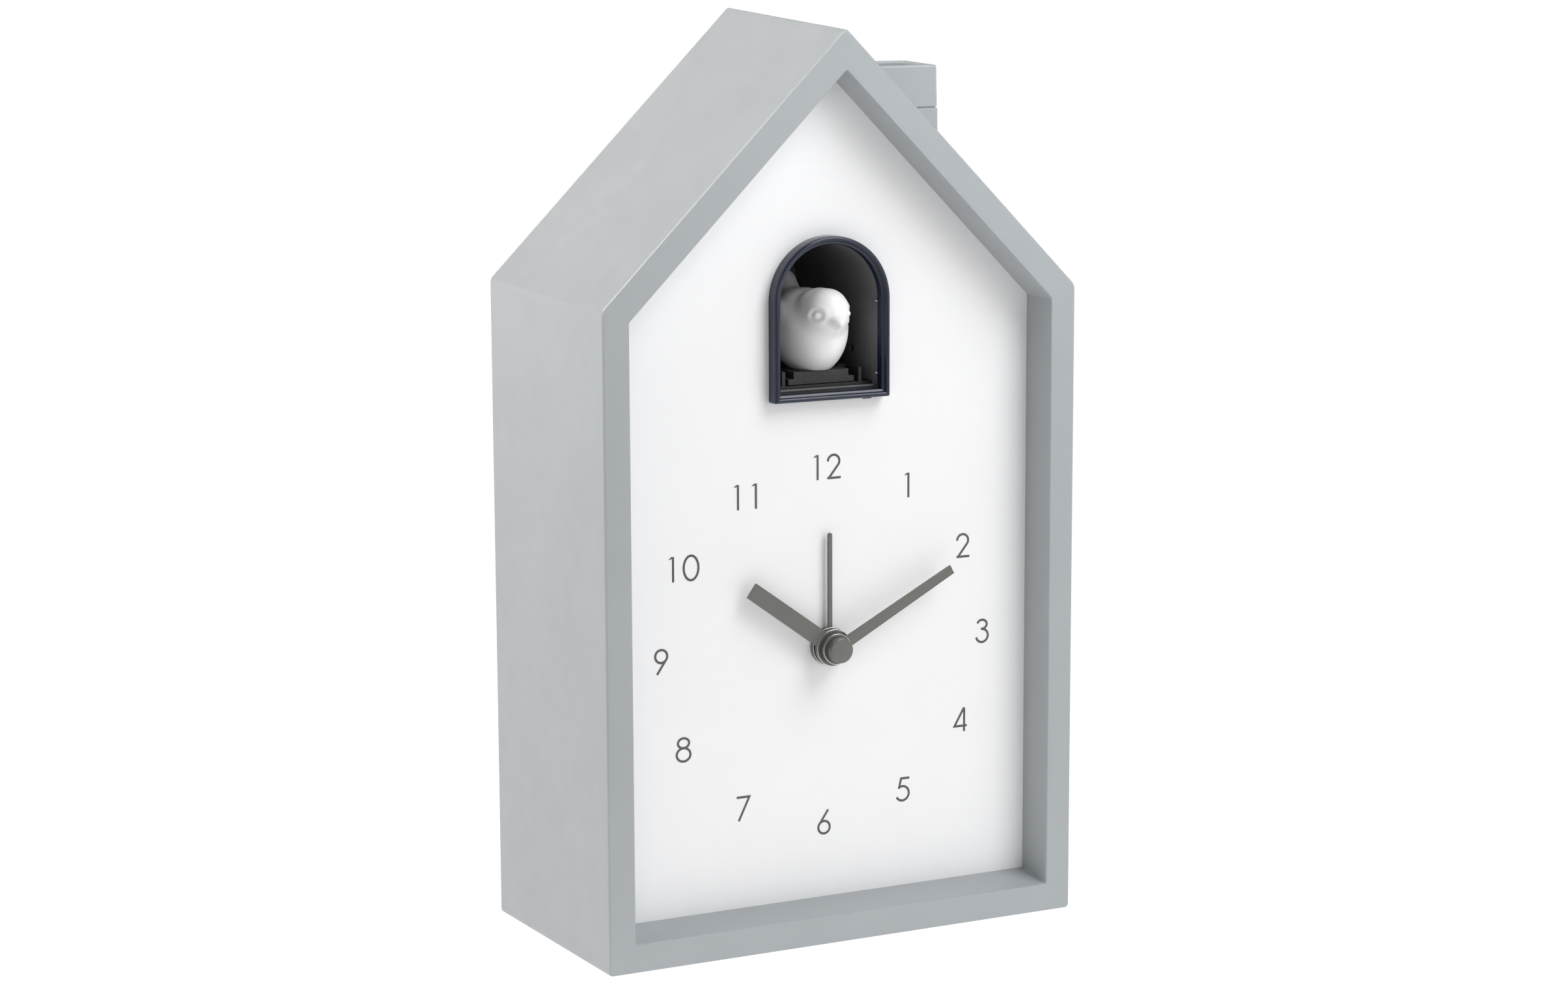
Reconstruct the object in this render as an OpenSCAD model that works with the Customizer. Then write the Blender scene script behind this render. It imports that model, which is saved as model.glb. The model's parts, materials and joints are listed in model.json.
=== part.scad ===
// Cuckoo alarm clock in the shape of a birdhouse.
// Millimetres. The dial faces -Y, +Z is up, +X is to the right as the dial is read.
// The origin is at the bottom centre of the case, half way through its depth.

/* [Case] */
// Width of the case at its front rim
case_w = 104.5; // [104:0.1:105]
// Depth of the case from front rim to rear rim
case_d = 52.3; // [52:0.1:52.6]
// Height of the ridge at the front rim
ridge_h = 182.2; // [182:0.1:183]
// Slope of the roof, in degrees
roof_slope = 44.95; // [44.6:0.05:45.2]
// How much each side wall flares outward from front to rear
side_draft = 1.5; // [1.4:0.01:1.6]
// How much each roof panel flares outward from front to rear
roof_draft = 2.32; // [2.2:0.01:2.4]
// Width of the rim at the sides of the dial
rim_w = 5.63; // [5.5:0.01:5.8]
// Thickness of the case wall behind the dial
wall = 2.4; // [2.2:0.1:2.5]
// Depth of the recess in front of the dial
recess_d = 8.62; // [8.5:0.01:8.7]

/* [Dial and hands] */
// Height of the hand axis
hub_z = 59.25; // [59:0.05:59.6]
// Thickness of the dial plate
dial_t = 2; // [1.9:0.1:2]
// Length of the hour hand from the hand axis
hour_len = 22.5; // [21:0.5:25]
// Length of the minute hand from the hand axis
minute_len = 29.8; // [28:0.1:32]
// Length of the alarm hand from the hand axis
alarm_len = 23.1; // [22:0.1:26]
// Angle of the hour hand, counted clockwise from twelve
hour_angle = 306; // [0:0.1:360]
// Angle of the minute hand, counted clockwise from twelve
minute_angle = 62.1; // [0:0.1:360]

/* [Door and bird] */
// Inner radius of the arched door frame
door_r = 11.25; // [11.15:0.05:11.3]
// Height of the centre of the arch
arch_z = 128.8; // [128.6:0.05:129.2]
// Height of the inner sill of the door frame
sill_z = 110.7; // [110.6:0.05:110.8]
// Width of the door frame's border
frame_w = 1.6; // [1.5:0.05:1.8]
// How far the door frame stands in front of the dial
frame_h = 3; // [2.6:0.1:3.2]
// Travel of the bird out of the door
bird_travel = 11; // [8:0.5:11]

/* [Chimney] */
// Side of the square chimney
chimney_w = 13.85; // [13.6:0.05:14.1]
// Distance of the chimney's centre from the ridge line
chimney_x = 24.4; // [24.2:0.05:24.6]
// Height of the chimney's rim at its front edge
chimney_top = 173.9; // [173.5:0.1:174.2]
// Height of the joint between the chimney's base and its button
chimney_joint = 165.25; // [165:0.05:165.5]
// Travel of the chimney button
button_travel = 0.25; // [0.15:0.05:0.3]

/* [Hidden] */
$fn = 64;

// Colours
CASE_GREY = [0.71, 0.72, 0.73];
DIAL_WHITE = [0.93, 0.93, 0.93];
NAVY = [0.11, 0.15, 0.26];
DARK = [0.09, 0.09, 0.1];
BIRD_WHITE = [0.95, 0.95, 0.94];
HAND_GREY = [0.4, 0.4, 0.38];
STEEL = [0.7, 0.7, 0.72];
BRASS = [0.75, 0.6, 0.3];
ACETAL = [0.9, 0.88, 0.82];
COPPER = [0.72, 0.38, 0.2];
BOARD_GREEN = [0.1, 0.35, 0.2];

// Running fit, radially, and the gap left around loose parts
fit = 0.05;
gap = 0.15;

// Levels along Y, from the front to the rear
front_y = -case_d / 2;
rear_y = case_d / 2;
dial_y = front_y + recess_d;
dial_back = dial_y + dial_t;
plate_back = dial_back + 1.2;
bridge_y = plate_back + 8.32;
movement_back_y = dial_back + 18;
cover_t = 2;
cover_y = rear_y - 3.05;
cover_in = cover_y - cover_t;

// Recess, as [sides, roof, floor]: width of the rim, and how far each wall leans in down to the dial
rim = [rim_w, rim_w + 0.12, rim_w + 0.15];
lean = [0.83, 0.67, 1.59];

// Screw sizes
screw_r = 1;
small_screw_r = 0.8;

// ---------------------------------------------------------------- helpers

function unit(v) = v / norm(v);
function polar(r, a) = [r * cos(a), r * sin(a)];

// An outline drawn in X and Z, thickened from y0 to y1
module slab(y0, y1) {
    translate([0, y1, 0]) rotate([90, 0, 0]) linear_extrude(y1 - y0) children();
}

// An outline drawn in Y and Z, thickened from x0 to x1
module slab_x(x0, x1) {
    translate([x0, 0, 0]) rotate([90, 0, 90]) linear_extrude(x1 - x0) children();
}

module rod_y(at, r, y0, y1) {
    translate([at[0], y1, at[1]]) rotate([90, 0, 0]) cylinder(h = y1 - y0, r = r);
}

module rod_x(at, r, x0, x1) {
    translate([x0, at[0], at[1]]) rotate([0, 90, 0]) cylinder(h = x1 - x0, r = r);
}

module rod_z(at, r, z0, z1) {
    translate([at[0], at[1], z0]) cylinder(h = z1 - z0, r = r);
}

module block(x, y, z) {
    translate([x[0], y[0], z[0]]) cube([x[1] - x[0], y[1] - y[0], z[1] - z[0]]);
}

// Pan-head screw along Y; its head lies on the rear side of y
module screw_y(at, r, y, len) {
    head = 1.9 * r;
    difference() {
        union() {
            rod_y(at, r, y - len, y);
            rod_y(at, head, y, y + 0.65 * head);
        }
        for (a = [0, 90])
            translate([at[0], y + 0.8 * head, at[1]]) rotate([0, a, 0])
                cube([1.3 * head, head, 0.4 * r], center = true);
    }
}

// Flat outline of a spur gear. Tooth 0 points at angle phase.
module gear_outline(m, n, phase = 0) {
    pitch_r = m * n / 2;
    step = 360 / n;
    tooth = [[-0.31, -1.1], [-0.12, 0.85], [0.12, 0.85], [0.31, -1.1]];
    polygon([for (i = [0 : n - 1], p = tooth)
        polar(pitch_r + p[1] * m, phase + (i + p[0]) * step)]);
}

// Phase of a gear of n2 teeth that meshes with a gear of n1 teeth at phase1, where dir is the
// direction from the first gear's centre to the second's
function mesh(phase1, n1, n2, dir) = dir + 180 + (180 - (phase1 - dir) * n1) / n2;

module gear_y(at, m, n, phase, y0, y1) {
    slab(y0, y1) translate(at) gear_outline(m, n, phase);
}

module gear_x(at, m, n, phase, x0, x1) {
    slab_x(x0, x1) translate(at) gear_outline(m, n, phase);
}

// Round wire along a list of points; ref is a direction the wire never runs along
module wire(path, r, ref, sides = 8) {
    last = len(path) - 1;
    along = [for (i = [0 : last]) unit(path[min(i + 1, last)] - path[max(i - 1, 0)])];
    points = [for (i = [0 : last])
        let (u = unit(cross(along[i], ref)), v = cross(along[i], u))
        for (k = [0 : sides - 1])
            path[i] + r * (cos(k * 360 / sides) * u + sin(k * 360 / sides) * v)];
    skin = [for (i = [0 : last - 1], k = [0 : sides - 1])
        let (a = i * sides + k, b = i * sides + (k + 1) % sides)
        [a, a + sides, b + sides, b]];
    caps = [[for (k = [0 : sides - 1]) k], [for (k = [sides - 1 : -1 : 0]) last * sides + k]];
    polyhedron(points, concat(skin, caps), convexity = 10);
}

// ---------------------------------------------------------------- house shapes

// The five corners of the house outline at depth y, set in by side, roof and floor
function house(y, side, roof, floor) =
    let (
        k = (y - front_y) / case_d,
        half = case_w / 2 + side_draft * k - side,
        top = ridge_h + (roof_draft * k - roof) / cos(roof_slope),
        eave = top - half * tan(roof_slope)
    )
    [[-half, floor], [half, floor], [half, eave], [0, top], [-half, eave]];

// Solid between two house outlines; inset is [side, roof, floor] at each end
module house_solid(y0, inset0, y1, inset1) {
    a = house(y0, inset0[0], inset0[1], inset0[2]);
    b = house(y1, inset1[0], inset1[1], inset1[2]);
    points = concat([for (p = a) [p[0], y0, p[1]]], [for (p = b) [p[0], y1, p[1]]]);
    walls = [for (i = [0 : 4]) let (j = (i + 1) % 5) [i, j, j + 5, i + 5]];
    polyhedron(points, concat([[4, 3, 2, 1, 0], [5, 6, 7, 8, 9]], walls));
}

// Flat plate of the house outline at depth y, that fits inside the case wall
module house_plate(y0, y1) {
    slab(y0, y1) polygon(house(y0, wall + gap, wall + gap, wall + gap));
}

// ---------------------------------------------------------------- case

cover_screw_x = case_w / 2 - 3.45;
cover_screw_at = [[-cover_screw_x, 5], [cover_screw_x, 5], [-cover_screw_x, 118],
    [cover_screw_x, 118], [0, ridge_h - 4.4]];
boss_r = 3.2;
base_w = chimney_w + 0.25;
well_w = 11.7;
board_z = 141;
board_post_at = [[17, 0], [31.5, 0]];

module case_wall() {
    difference() {
        house_solid(front_y, [0, 0, 0], rear_y, [0, 0, 0]);
        house_solid(front_y - 1, rim - lean / recess_d, dial_y, rim + lean);
        house_solid(dial_y, [wall, wall, wall], rear_y + 1, [wall, wall, wall]);
    }
}

// Square block centred on the chimney's axis
module chimney_block(w, z0, z1) {
    block([chimney_x - w / 2, chimney_x + w / 2], [-w / 2, w / 2], [z0, z1]);
}

module chimney_base() {
    difference() {
        chimney_block(base_w, 150, chimney_joint);
        house_solid(dial_y, [wall, wall, wall], rear_y - 1, [wall, wall, wall]);
    }
}

// Posts under the roof that carry the snooze board
module board_posts() {
    intersection() {
        for (p = board_post_at) rod_z(p, 2, board_z + 1.6, 175);
        house_solid(front_y, [1, 1, 1], rear_y, [1, 1, 1]);
    }
}

module case_shell() {
    difference() {
        union() {
            case_wall();
            chimney_base();
            board_posts();
            for (p = cover_screw_at) rod_y(p, boss_r, 8, cover_in);
        }
        chimney_block(well_w, 144, 190);
        chimney_block(base_w + 0.3, chimney_joint, 190);
        for (p = cover_screw_at) rod_y(p, screw_r, 11, cover_in + 1);
        for (p = board_post_at) rod_z(p, small_screw_r, board_z, board_z + 4.5);
    }
}

module case() {
    color(CASE_GREY) case_shell();
}

// ---------------------------------------------------------------- dial and door

hub = [0, hub_z];
movement_w = 56;
bushing_r = 3.6;
corner_at = [for (x = [-1, 1], z = [-1, 1]) hub + (movement_w / 2 - 2.2) * [x, z]];
tunnel_screw_at = [for (x = [-15.4, 15.4], z = [115, 128]) [x, z]];

// Arched outline with radius r and its foot at z0
module arch(r, z0) {
    translate([0, arch_z]) circle(r);
    translate([-r, z0]) square([2 * r, arch_z - z0]);
}

module arch_ring(r, z0, w) {
    difference() {
        arch(r + w, z0 - w);
        arch(r, z0);
    }
}

sleeve_w = 0.45;

module dial_plate() {
    color(DIAL_WHITE) difference() {
        house_plate(dial_y, dial_back);
        rod_y(hub, bushing_r + 0.2, dial_y - 1, dial_back + 1);
        slab(dial_y - 1, dial_back + 1) arch(door_r + sleeve_w + 0.1, sill_z - sleeve_w - 0.1);
        for (p = corner_at) rod_y(p, screw_r, dial_back - 1.4, dial_back + 1);
        for (p = tunnel_screw_at) rod_y(p, small_screw_r, dial_back - 1.5, dial_back + 1);
    }
}

module door_frame() {
    color(NAVY) {
        slab(dial_y - frame_h, dial_y) arch_ring(door_r, sill_z, frame_w);
        slab(dial_y, dial_back) arch_ring(door_r, sill_z, sleeve_w);
    }
}

// ---------------------------------------------------------------- bird and its tunnel

floor_z = sill_z + 1.15;
tunnel_end = 18.6;
tunnel_w = 1.15;
track_w = 16.4;
rail_t = 0.7;
sled_z = floor_z + 0.1;
sled_top = floor_z + 2.7;
sled_w = 12.3;
flange_w = 14.8;
flange_top = sled_z + 1.2;
sled_y = [dial_y + 2.3, 16];
rack_w = 3.6;

module bird_tunnel() {
    color(DARK) difference() {
        union() {
            slab(dial_back, tunnel_end) arch(door_r + tunnel_w, floor_z - 1.4);
            slab(dial_back, dial_back + 1.2) arch(door_r + 6.2, floor_z - 4);
        }
        difference() {
            slab(dial_back - 1, tunnel_end - 1.2) arch(door_r, floor_z);
            for (s = [-1, 1]) {
                x0 = s * track_w / 2;
                x1 = s * (track_w / 2 + rail_t);
                block([min(x0, x1), max(x0, x1)], [dial_back, 17.4], [floor_z - 0.1, floor_z + 2.9]);
                lip = s * (sled_w / 2 + 0.3);
                block([min(lip, x1), max(lip, x1)], [-10, 17.4], [flange_top + 0.25, floor_z + 2.9]);
            }
        }
        block([-rack_w / 2 - 0.6, rack_w / 2 + 0.6], [rack_front - bird_travel - 0.3, 17.4],
            [floor_z - 3, floor_z + 1]);
        for (p = tunnel_screw_at) rod_y(p, small_screw_r + 0.1, dial_back - 1, dial_back + 2);
        for (p = bracket_screw_at) rod_x(p, small_screw_r, door_r - 0.4, door_r + 3);
    }
}

module tunnel_screws() {
    color(STEEL) for (p = tunnel_screw_at)
        screw_y(p, small_screw_r - 0.02, dial_back + 1.2, 2.5);
}

// Centres of the bird's parts, from the dial plane and the top of its sled
function on_sled(y, z) = [0, dial_y + y, sled_top + z];
chest = on_sled(5.1, 7.25);
rump = on_sled(11.4, 8.85);
head = on_sled(1.5, 11.35);

module ball(at, r) {
    translate(at) sphere(r, $fn = 32);
}

module bird() {
    color(BIRD_WHITE) difference() {
        union() {
            hull() {
                ball(chest, 7);
                ball(rump, 6.5);
            }
            hull() {
                ball(head, 5.6);
                ball(chest, 6.6);
            }
            hull() {
                ball(on_sled(-2.7, 10.45), 2);
                ball(on_sled(-5.1, 10.05), 0.6);
            }
            hull() {
                ball(on_sled(16.3, 13.65), 2.6);
                ball(on_sled(21.3, 16.65), 2.3);
            }
            rod_z([0, -10], 4.2, sled_top, sled_top + 3);
        }
        block([-9, 9], [-25, 8], [sled_top - 6, sled_top]);
    }
}

// Drive gears: the pinion under the sled, then an idler, then the motor
rack_m = 0.8;
pinion_n = 12;
drive_m = 0.5;
wheel_n = 30;
small_n = 10;
rack_pitch_z = sled_z - 0.9;
pinion_at = [-2, rack_pitch_z - rack_m * pinion_n / 2];
rack_front = pinion_at[0] - 0.31 * PI * rack_m;
idler_dir = -45.6;
idler_at = pinion_at + polar(drive_m * (wheel_n + small_n) / 2, idler_dir);
motor_dir = -56.6;
motor_at = idler_at + polar(drive_m * (wheel_n + small_n) / 2, motor_dir);
pinion_phase = 90 + 180 / pinion_n;
wheel_phase = 0;
idler_phase = mesh(wheel_phase, wheel_n, small_n, idler_dir);
motor_phase = mesh(0, wheel_n, small_n, motor_dir);

module bird_sled() {
    pitch = PI * rack_m;
    tip = rack_pitch_z - 0.85 * rack_m;
    color(DARK) union() {
        block([-sled_w / 2, sled_w / 2], sled_y, [sled_z, sled_top]);
        block([-flange_w / 2, flange_w / 2], sled_y, [sled_z, flange_top]);
        slab_x(-rack_w / 2, rack_w / 2) for (i = [0 : ceil(bird_travel / pitch) + 1])
            translate([pinion_at[0] + i * pitch, 0])
                polygon([[-0.31 * pitch, sled_z + 0.5], [-0.31 * pitch, sled_z],
                    [-0.13 * pitch, tip], [0.13 * pitch, tip],
                    [0.31 * pitch, sled_z], [0.31 * pitch, sled_z + 0.5]]);
    }
}

shaft_r = 1;
pin_r = 0.8;
inner_plate = [12.9, 14.1];
outer_plate = [19.3, 20.5];
lug = [-5.5, -4.3];

module sled_pinion() {
    color(ACETAL) difference() {
        gear_x(pinion_at, rack_m, pinion_n, pinion_phase, -1.6, 1.6);
        rod_x(pinion_at, shaft_r, -3, 3);
    }
}

module pinion_shaft() {
    color(STEEL) rod_x(pinion_at, shaft_r, lug[0], outer_plate[1]);
}

module drive_wheel() {
    color(ACETAL) difference() {
        gear_x(pinion_at, drive_m, wheel_n, wheel_phase, 14.7, 16.4);
        rod_x(pinion_at, shaft_r, 14, 17);
        for (a = [30 : 60 : 330]) rod_x(pinion_at + polar(4.4, a), 1.3, 14, 17);
    }
}

module idler_gear() {
    color(ACETAL) difference() {
        union() {
            gear_x(idler_at, drive_m, small_n, idler_phase, 14.4, 17);
            gear_x(idler_at, drive_m, wheel_n, 0, 17, 18.4);
        }
        rod_x(idler_at, pin_r, 14, 19);
    }
}

module idler_pin() {
    color(STEEL) rod_x(idler_at, pin_r, inner_plate[0], outer_plate[1]);
}

pillar_at = [[-7, 97.5], [14.5, 107], [5, 85.5]];
bracket_screw_at = [[-7, 117.5], [9, 117.5]];

// Outline of the lower part of both bracket plates, which clears the movement
bracket_edge = [[-10, 94], [-4, hub_z + movement_w / 2 + 0.5], [3.7, hub_z + movement_w / 2 + 0.5],
    [3.7, 83], [14, 82.5], [17.5, 88], [17.5, 110]];
strap_y = [3.8, 5.4];

module drive_bracket() {
    color(STEEL) difference() {
        union() {
            slab_x(inner_plate[0], inner_plate[1])
                polygon(concat([[-10, 121]], bracket_edge, [[12, 121]]));
            slab_x(outer_plate[0], outer_plate[1]) polygon(concat([[-10, 112]], bracket_edge));
            for (p = pillar_at) rod_x(p, 1.5, inner_plate[1] - 0.2, outer_plate[0] + 0.2);
            // Lug under the tunnel floor, joined to the inner plate by a strap behind the pinion
            block(lug, [-5, strap_y[1]], [pinion_at[1] - 2.6, floor_z - 1.4]);
            block([lug[0], inner_plate[1]], strap_y, [floor_z - 5.4, floor_z - 1.8]);
        }
        for (x = [lug, inner_plate, outer_plate])
            rod_x(pinion_at, shaft_r + fit, x[0] - 0.1, x[1] + 0.1);
        for (x = [inner_plate, outer_plate])
            rod_x(idler_at, pin_r + fit, x[0] - 0.1, x[1] + 0.1);
        rod_x(motor_at, 2.2, inner_plate[0] - 0.1, inner_plate[1] + 0.1);
        rod_x(motor_at, 1.2, outer_plate[0] - 0.1, outer_plate[1] + 0.1);
        for (p = bracket_screw_at) rod_x(p, small_screw_r + 0.1, 12, 15);
    }
}

module bracket_screws() {
    color(STEEL) for (p = bracket_screw_at) {
        rod_x(p, small_screw_r - 0.02, door_r + 0.1, inner_plate[1]);
        rod_x(p, 1.6, inner_plate[1], inner_plate[1] + 1);
    }
}

motor_r = 7.75;

module motor_can() {
    color(STEEL) difference() {
        union() {
            rod_x(motor_at, motor_r, -9, inner_plate[0]);
            rod_x(motor_at, 2.1, inner_plate[0], inner_plate[1] + 0.3);
            rod_x(motor_at, 3, -10.5, -9);
        }
        rod_x(motor_at, 0.75 + fit, -11, inner_plate[1] + 1);
    }
}

module motor_shaft() {
    color(STEEL) rod_x(motor_at, 0.75, -10.4, 19);
}

module motor_pinion() {
    color(BRASS) difference() {
        gear_x(motor_at, drive_m, small_n, motor_phase, 16.7, 18.8);
        rod_x(motor_at, 0.75, 16, 20);
    }
}

// ---------------------------------------------------------------- hands

// Heights above the dial, as [back, front]
alarm_h = [0.9, 1.5];
hour_h = [2.4, 3];
minute_h = [3.9, 4.5];
cap_h = [4.9, 6.5];

alarm_pipe = [2.5, 1.8];
hour_pipe = [1.75, 1.05];
arbor_r = 1;

// Flat blade that points up from the hand axis: widths at its root and tip
module blade(len, root_w, tip_w) {
    polygon([[-root_w / 2, 0], [root_w / 2, 0], [tip_w / 2, len], [-tip_w / 2, len]]);
}

// Hand with a boss of boss_size and a bore of bore_r, turned clockwise by angle
module hand(angle, h, boss_size, boss_depth, bore_r) {
    difference() {
        union() {
            slab(dial_y - h[1], dial_y - h[0]) translate(hub) rotate(-angle) children();
            rod_y(hub, boss_size, dial_y - h[1], dial_y - h[1] + boss_depth);
        }
        rod_y(hub, bore_r, dial_y - 8, dial_y + 1);
    }
}

module hour_hand() {
    color(HAND_GREY) hand(hour_angle, hour_h, 3.72, 1.1, hour_pipe[0])
        blade(hour_len, 3.5, 3.4);
}

module minute_hand() {
    color(HAND_GREY) hand(minute_angle, minute_h, 3.1, 1.1, arbor_r)
        blade(minute_len, 2.4, 1.9);
}

module alarm_hand() {
    color(HAND_GREY) hand(0, alarm_h, 3.85, 1.2, alarm_pipe[0]) {
        blade(alarm_len - 0.45, 0.9, 0.9);
        translate([0, alarm_len - 0.45]) circle(0.45);
    }
}

module hub_cap() {
    color(HAND_GREY) difference() {
        union() {
            rod_y(hub, 2.55, dial_y - cap_h[1], dial_y - cap_h[0]);
            rod_y(hub, 2, dial_y - cap_h[0], dial_y - minute_h[1]);
        }
        rod_y(hub, arbor_r, dial_y - 5.7, dial_y);
    }
}

// ---------------------------------------------------------------- movement

// Gear layers, as [front, rear], counted from the movement's front plate
function layer(a, b) = [plate_back + a, plate_back + b];
alarm_layer = layer(0.32, 1.32);
hour_layer = layer(1.72, 2.72);
motion_layer = layer(3.02, 4.02);
centre_layer = layer(4.42, 5.22);
third_layer = layer(5.52, 6.12);
fourth_layer = layer(6.42, 7.02);
fifth_layer = layer(7.32, 7.92);
bridge_t = 1;
stator_y = [bridge_y + 1.2, bridge_y + 2.2];
coil_at = [(stator_y[0] + stator_y[1]) / 2, hub_z + 23.1];

motion_m = 0.3;
hour_m = 0.288;
train_m = 0.22;
centre_m = 0.45;
alarm_m = 0.4;
leaf = 8;

motion_dir = 226;
motion_at = hub + polar(7.2, motion_dir);
setting_dir = 196.6;
setting_at = motion_at + polar(7.2, setting_dir);
alarm_dir = -37.1;
alarm_at = hub + polar(12, alarm_dir);

third_dir = 130;
third_at = hub + polar(9, third_dir);
fourth_dir = 75;
fourth_at = third_at + polar(train_m * 36, fourth_dir);
fifth_dir = -10;
fifth_at = fourth_at + polar(train_m * 34, fifth_dir);
rotor_dir = 20;
rotor_at = fifth_at + polar(train_m * 34, rotor_dir);
pivot_r = 0.45;

post_at = [hub + [-17, 2], hub + [13, 2], hub + [-14, 19]];

module movement_front() {
    half = movement_w / 2;
    color(ACETAL) difference() {
        union() {
            slab(dial_back, plate_back) translate(hub) square(movement_w, center = true);
            rod_y(hub, bushing_r, dial_y - 0.1, plate_back);
            for (p = post_at) rod_y(p, 1.6, dial_back, bridge_y);
            rod_y(motion_at, 0.7, dial_back, motion_layer[1] + 0.2);
        }
        rod_y(hub, alarm_pipe[0] + fit, dial_y - 1, plate_back + 1);
        for (p = corner_at) rod_y(p, screw_r + 0.05, dial_back - 1, plate_back + 1);
        for (p = [third_at, fourth_at, fifth_at, rotor_at])
            rod_y(p, pivot_r + fit, dial_back + 0.4, plate_back + 1);
        for (p = [setting_at, alarm_at]) rod_y(p, 1.25, dial_back + 0.4, plate_back + 1);
    }
}

module movement_back() {
    color(DARK) difference() {
        union() {
            difference() {
                slab(plate_back, movement_back_y) translate(hub) square(movement_w, center = true);
                slab(plate_back - 1, movement_back_y - 1.2) translate(hub)
                    square(movement_w - 2.4, center = true);
            }
            for (p = corner_at) rod_y(p, 2.2, plate_back, movement_back_y);
            rod_y(rotor_at, 1.6, stator_y[1] + 1.6, movement_back_y);
        }
        for (p = corner_at) rod_y(p, screw_r + 0.05, plate_back - 1, movement_back_y + 1);
        rod_y(rotor_at, pivot_r + fit, stator_y[1], stator_y[1] + 2.6);
        for (p = [setting_at, alarm_at]) rod_y(p, 1.25, movement_back_y - 2, movement_back_y + 1);
    }
}

module movement_screws() {
    color(STEEL) for (p = corner_at)
        screw_y(p, screw_r - 0.02, movement_back_y, 19.3);
}

module train_bridge() {
    color(BRASS) difference() {
        slab(bridge_y, bridge_y + bridge_t) translate(hub) polygon([[-19, -1], [-3, -3], [5, -3],
            [15, -0.5], [15, 19.4], [-1, 19.4], [-8, 21.5], [-17, 21.5], [-19, 16]]);
        rod_y(hub, arbor_r + fit, bridge_y - 1, bridge_y + 3);
        rod_y(rotor_at, 3.4, bridge_y - 1, bridge_y + 3);
        for (p = [third_at, fourth_at, fifth_at])
            rod_y(p, pivot_r + fit, bridge_y - 1, bridge_y + 3);
    }
}

module stator() {
    color(STEEL) difference() {
        slab(stator_y[0], stator_y[1]) difference() {
            translate(hub + [-3, 11.6]) square([27, 12.5]);
            translate(hub + [0.4, 19.6]) square([21.2, 2.5]);
        }
        rod_y(rotor_at, 3.4, stator_y[0] - 1, stator_y[1] + 1);
    }
}

module coil_bobbin() {
    color(ACETAL) difference() {
        union() {
            rod_x(coil_at, 1.9, 1.2, 20.8);
            rod_x(coil_at, 3.4, 1.2, 2);
            rod_x(coil_at, 3.4, 20, 20.8);
        }
        block([0, 22], stator_y, [coil_at[1] - 1, coil_at[1] + 1]);
    }
}

module coil_winding() {
    color(COPPER) difference() {
        rod_x(coil_at, 3.2, 2, 20);
        rod_x(coil_at, 1.9, 1, 21);
    }
}

// A train wheel with its pinion and arbor: the wheel is at the rear of the pinion or in front
module train_wheel(at, wheel_m, wheel_n, wheel_phase, wheel_layer, pin_m, pin_phase, pin_layer) {
    union() {
        gear_y(at, wheel_m, wheel_n, wheel_phase, wheel_layer[0], wheel_layer[1]);
        gear_y(at, pin_m, leaf, pin_phase, pin_layer[0], pin_layer[1]);
        rod_y(at, pivot_r, dial_back + 0.6, bridge_y + bridge_t);
    }
}

rotor_phase = 0;
fifth_phase = mesh(rotor_phase, leaf, 60, rotor_dir + 180);
fourth_phase = mesh(0, leaf, 60, fifth_dir + 180);
third_phase = mesh(0, leaf, 64, fourth_dir + 180);
centre_phase = mesh(0, leaf, 32, third_dir + 180);

module rotor() {
    color(DARK) union() {
        rod_y(rotor_at, 2.9, fifth_layer[1] + 0.2, stator_y[1] + 0.6);
        gear_y(rotor_at, train_m, leaf, rotor_phase, fifth_layer[0], fifth_layer[1] + 0.3);
        rod_y(rotor_at, pivot_r, dial_back + 0.6, stator_y[1] + 2.4);
    }
}

module fifth_wheel() {
    color(ACETAL) train_wheel(fifth_at, train_m, 60, fifth_phase, fifth_layer,
        train_m, 0, [fourth_layer[0], fifth_layer[0]]);
}

module fourth_wheel() {
    color(ACETAL) train_wheel(fourth_at, train_m, 60, fourth_phase, fourth_layer,
        train_m, 0, [third_layer[0], fourth_layer[0]]);
}

module third_wheel() {
    color(ACETAL) train_wheel(third_at, train_m, 64, third_phase, third_layer,
        centre_m, 0, [centre_layer[0], third_layer[0]]);
}

module centre_wheel() {
    color(ACETAL) difference() {
        gear_y(hub, centre_m, 32, centre_phase, centre_layer[0], centre_layer[1]);
        rod_y(hub, arbor_r + fit, centre_layer[0] - 1, centre_layer[1] + 1);
    }
}

module minute_arbor() {
    color(BRASS) union() {
        rod_y(hub, arbor_r, dial_y - 5.7, bridge_y + bridge_t);
        gear_y(hub, motion_m, 12, 0, motion_layer[0], motion_layer[1]);
        rod_y(hub, 1.35, motion_layer[1], centre_layer[0] - 0.1);
        rod_y(hub, 1.6, centre_layer[1] + 0.1, centre_layer[1] + 0.5);
    }
}

motion_phase = mesh(0, 12, 36, motion_dir);
setting_phase = mesh(motion_phase, 36, 12, setting_dir);
hour_phase = mesh(0, leaf + 2, 40, motion_dir + 180);

module motion_wheel() {
    color(ACETAL) difference() {
        union() {
            gear_y(motion_at, motion_m, 36, motion_phase, motion_layer[0], motion_layer[1]);
            gear_y(motion_at, hour_m, leaf + 2, 0, hour_layer[0], motion_layer[0]);
        }
        rod_y(motion_at, 0.75, hour_layer[0] - 1, motion_layer[1] + 1);
    }
}

module hour_wheel() {
    color(ACETAL) difference() {
        union() {
            gear_y(hub, hour_m, 40, hour_phase, hour_layer[0], hour_layer[1]);
            rod_y(hub, hour_pipe[0], dial_y - hour_h[1], hour_layer[1]);
        }
        rod_y(hub, hour_pipe[1], dial_y - 10, hour_layer[1] + 1);
    }
}

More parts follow.
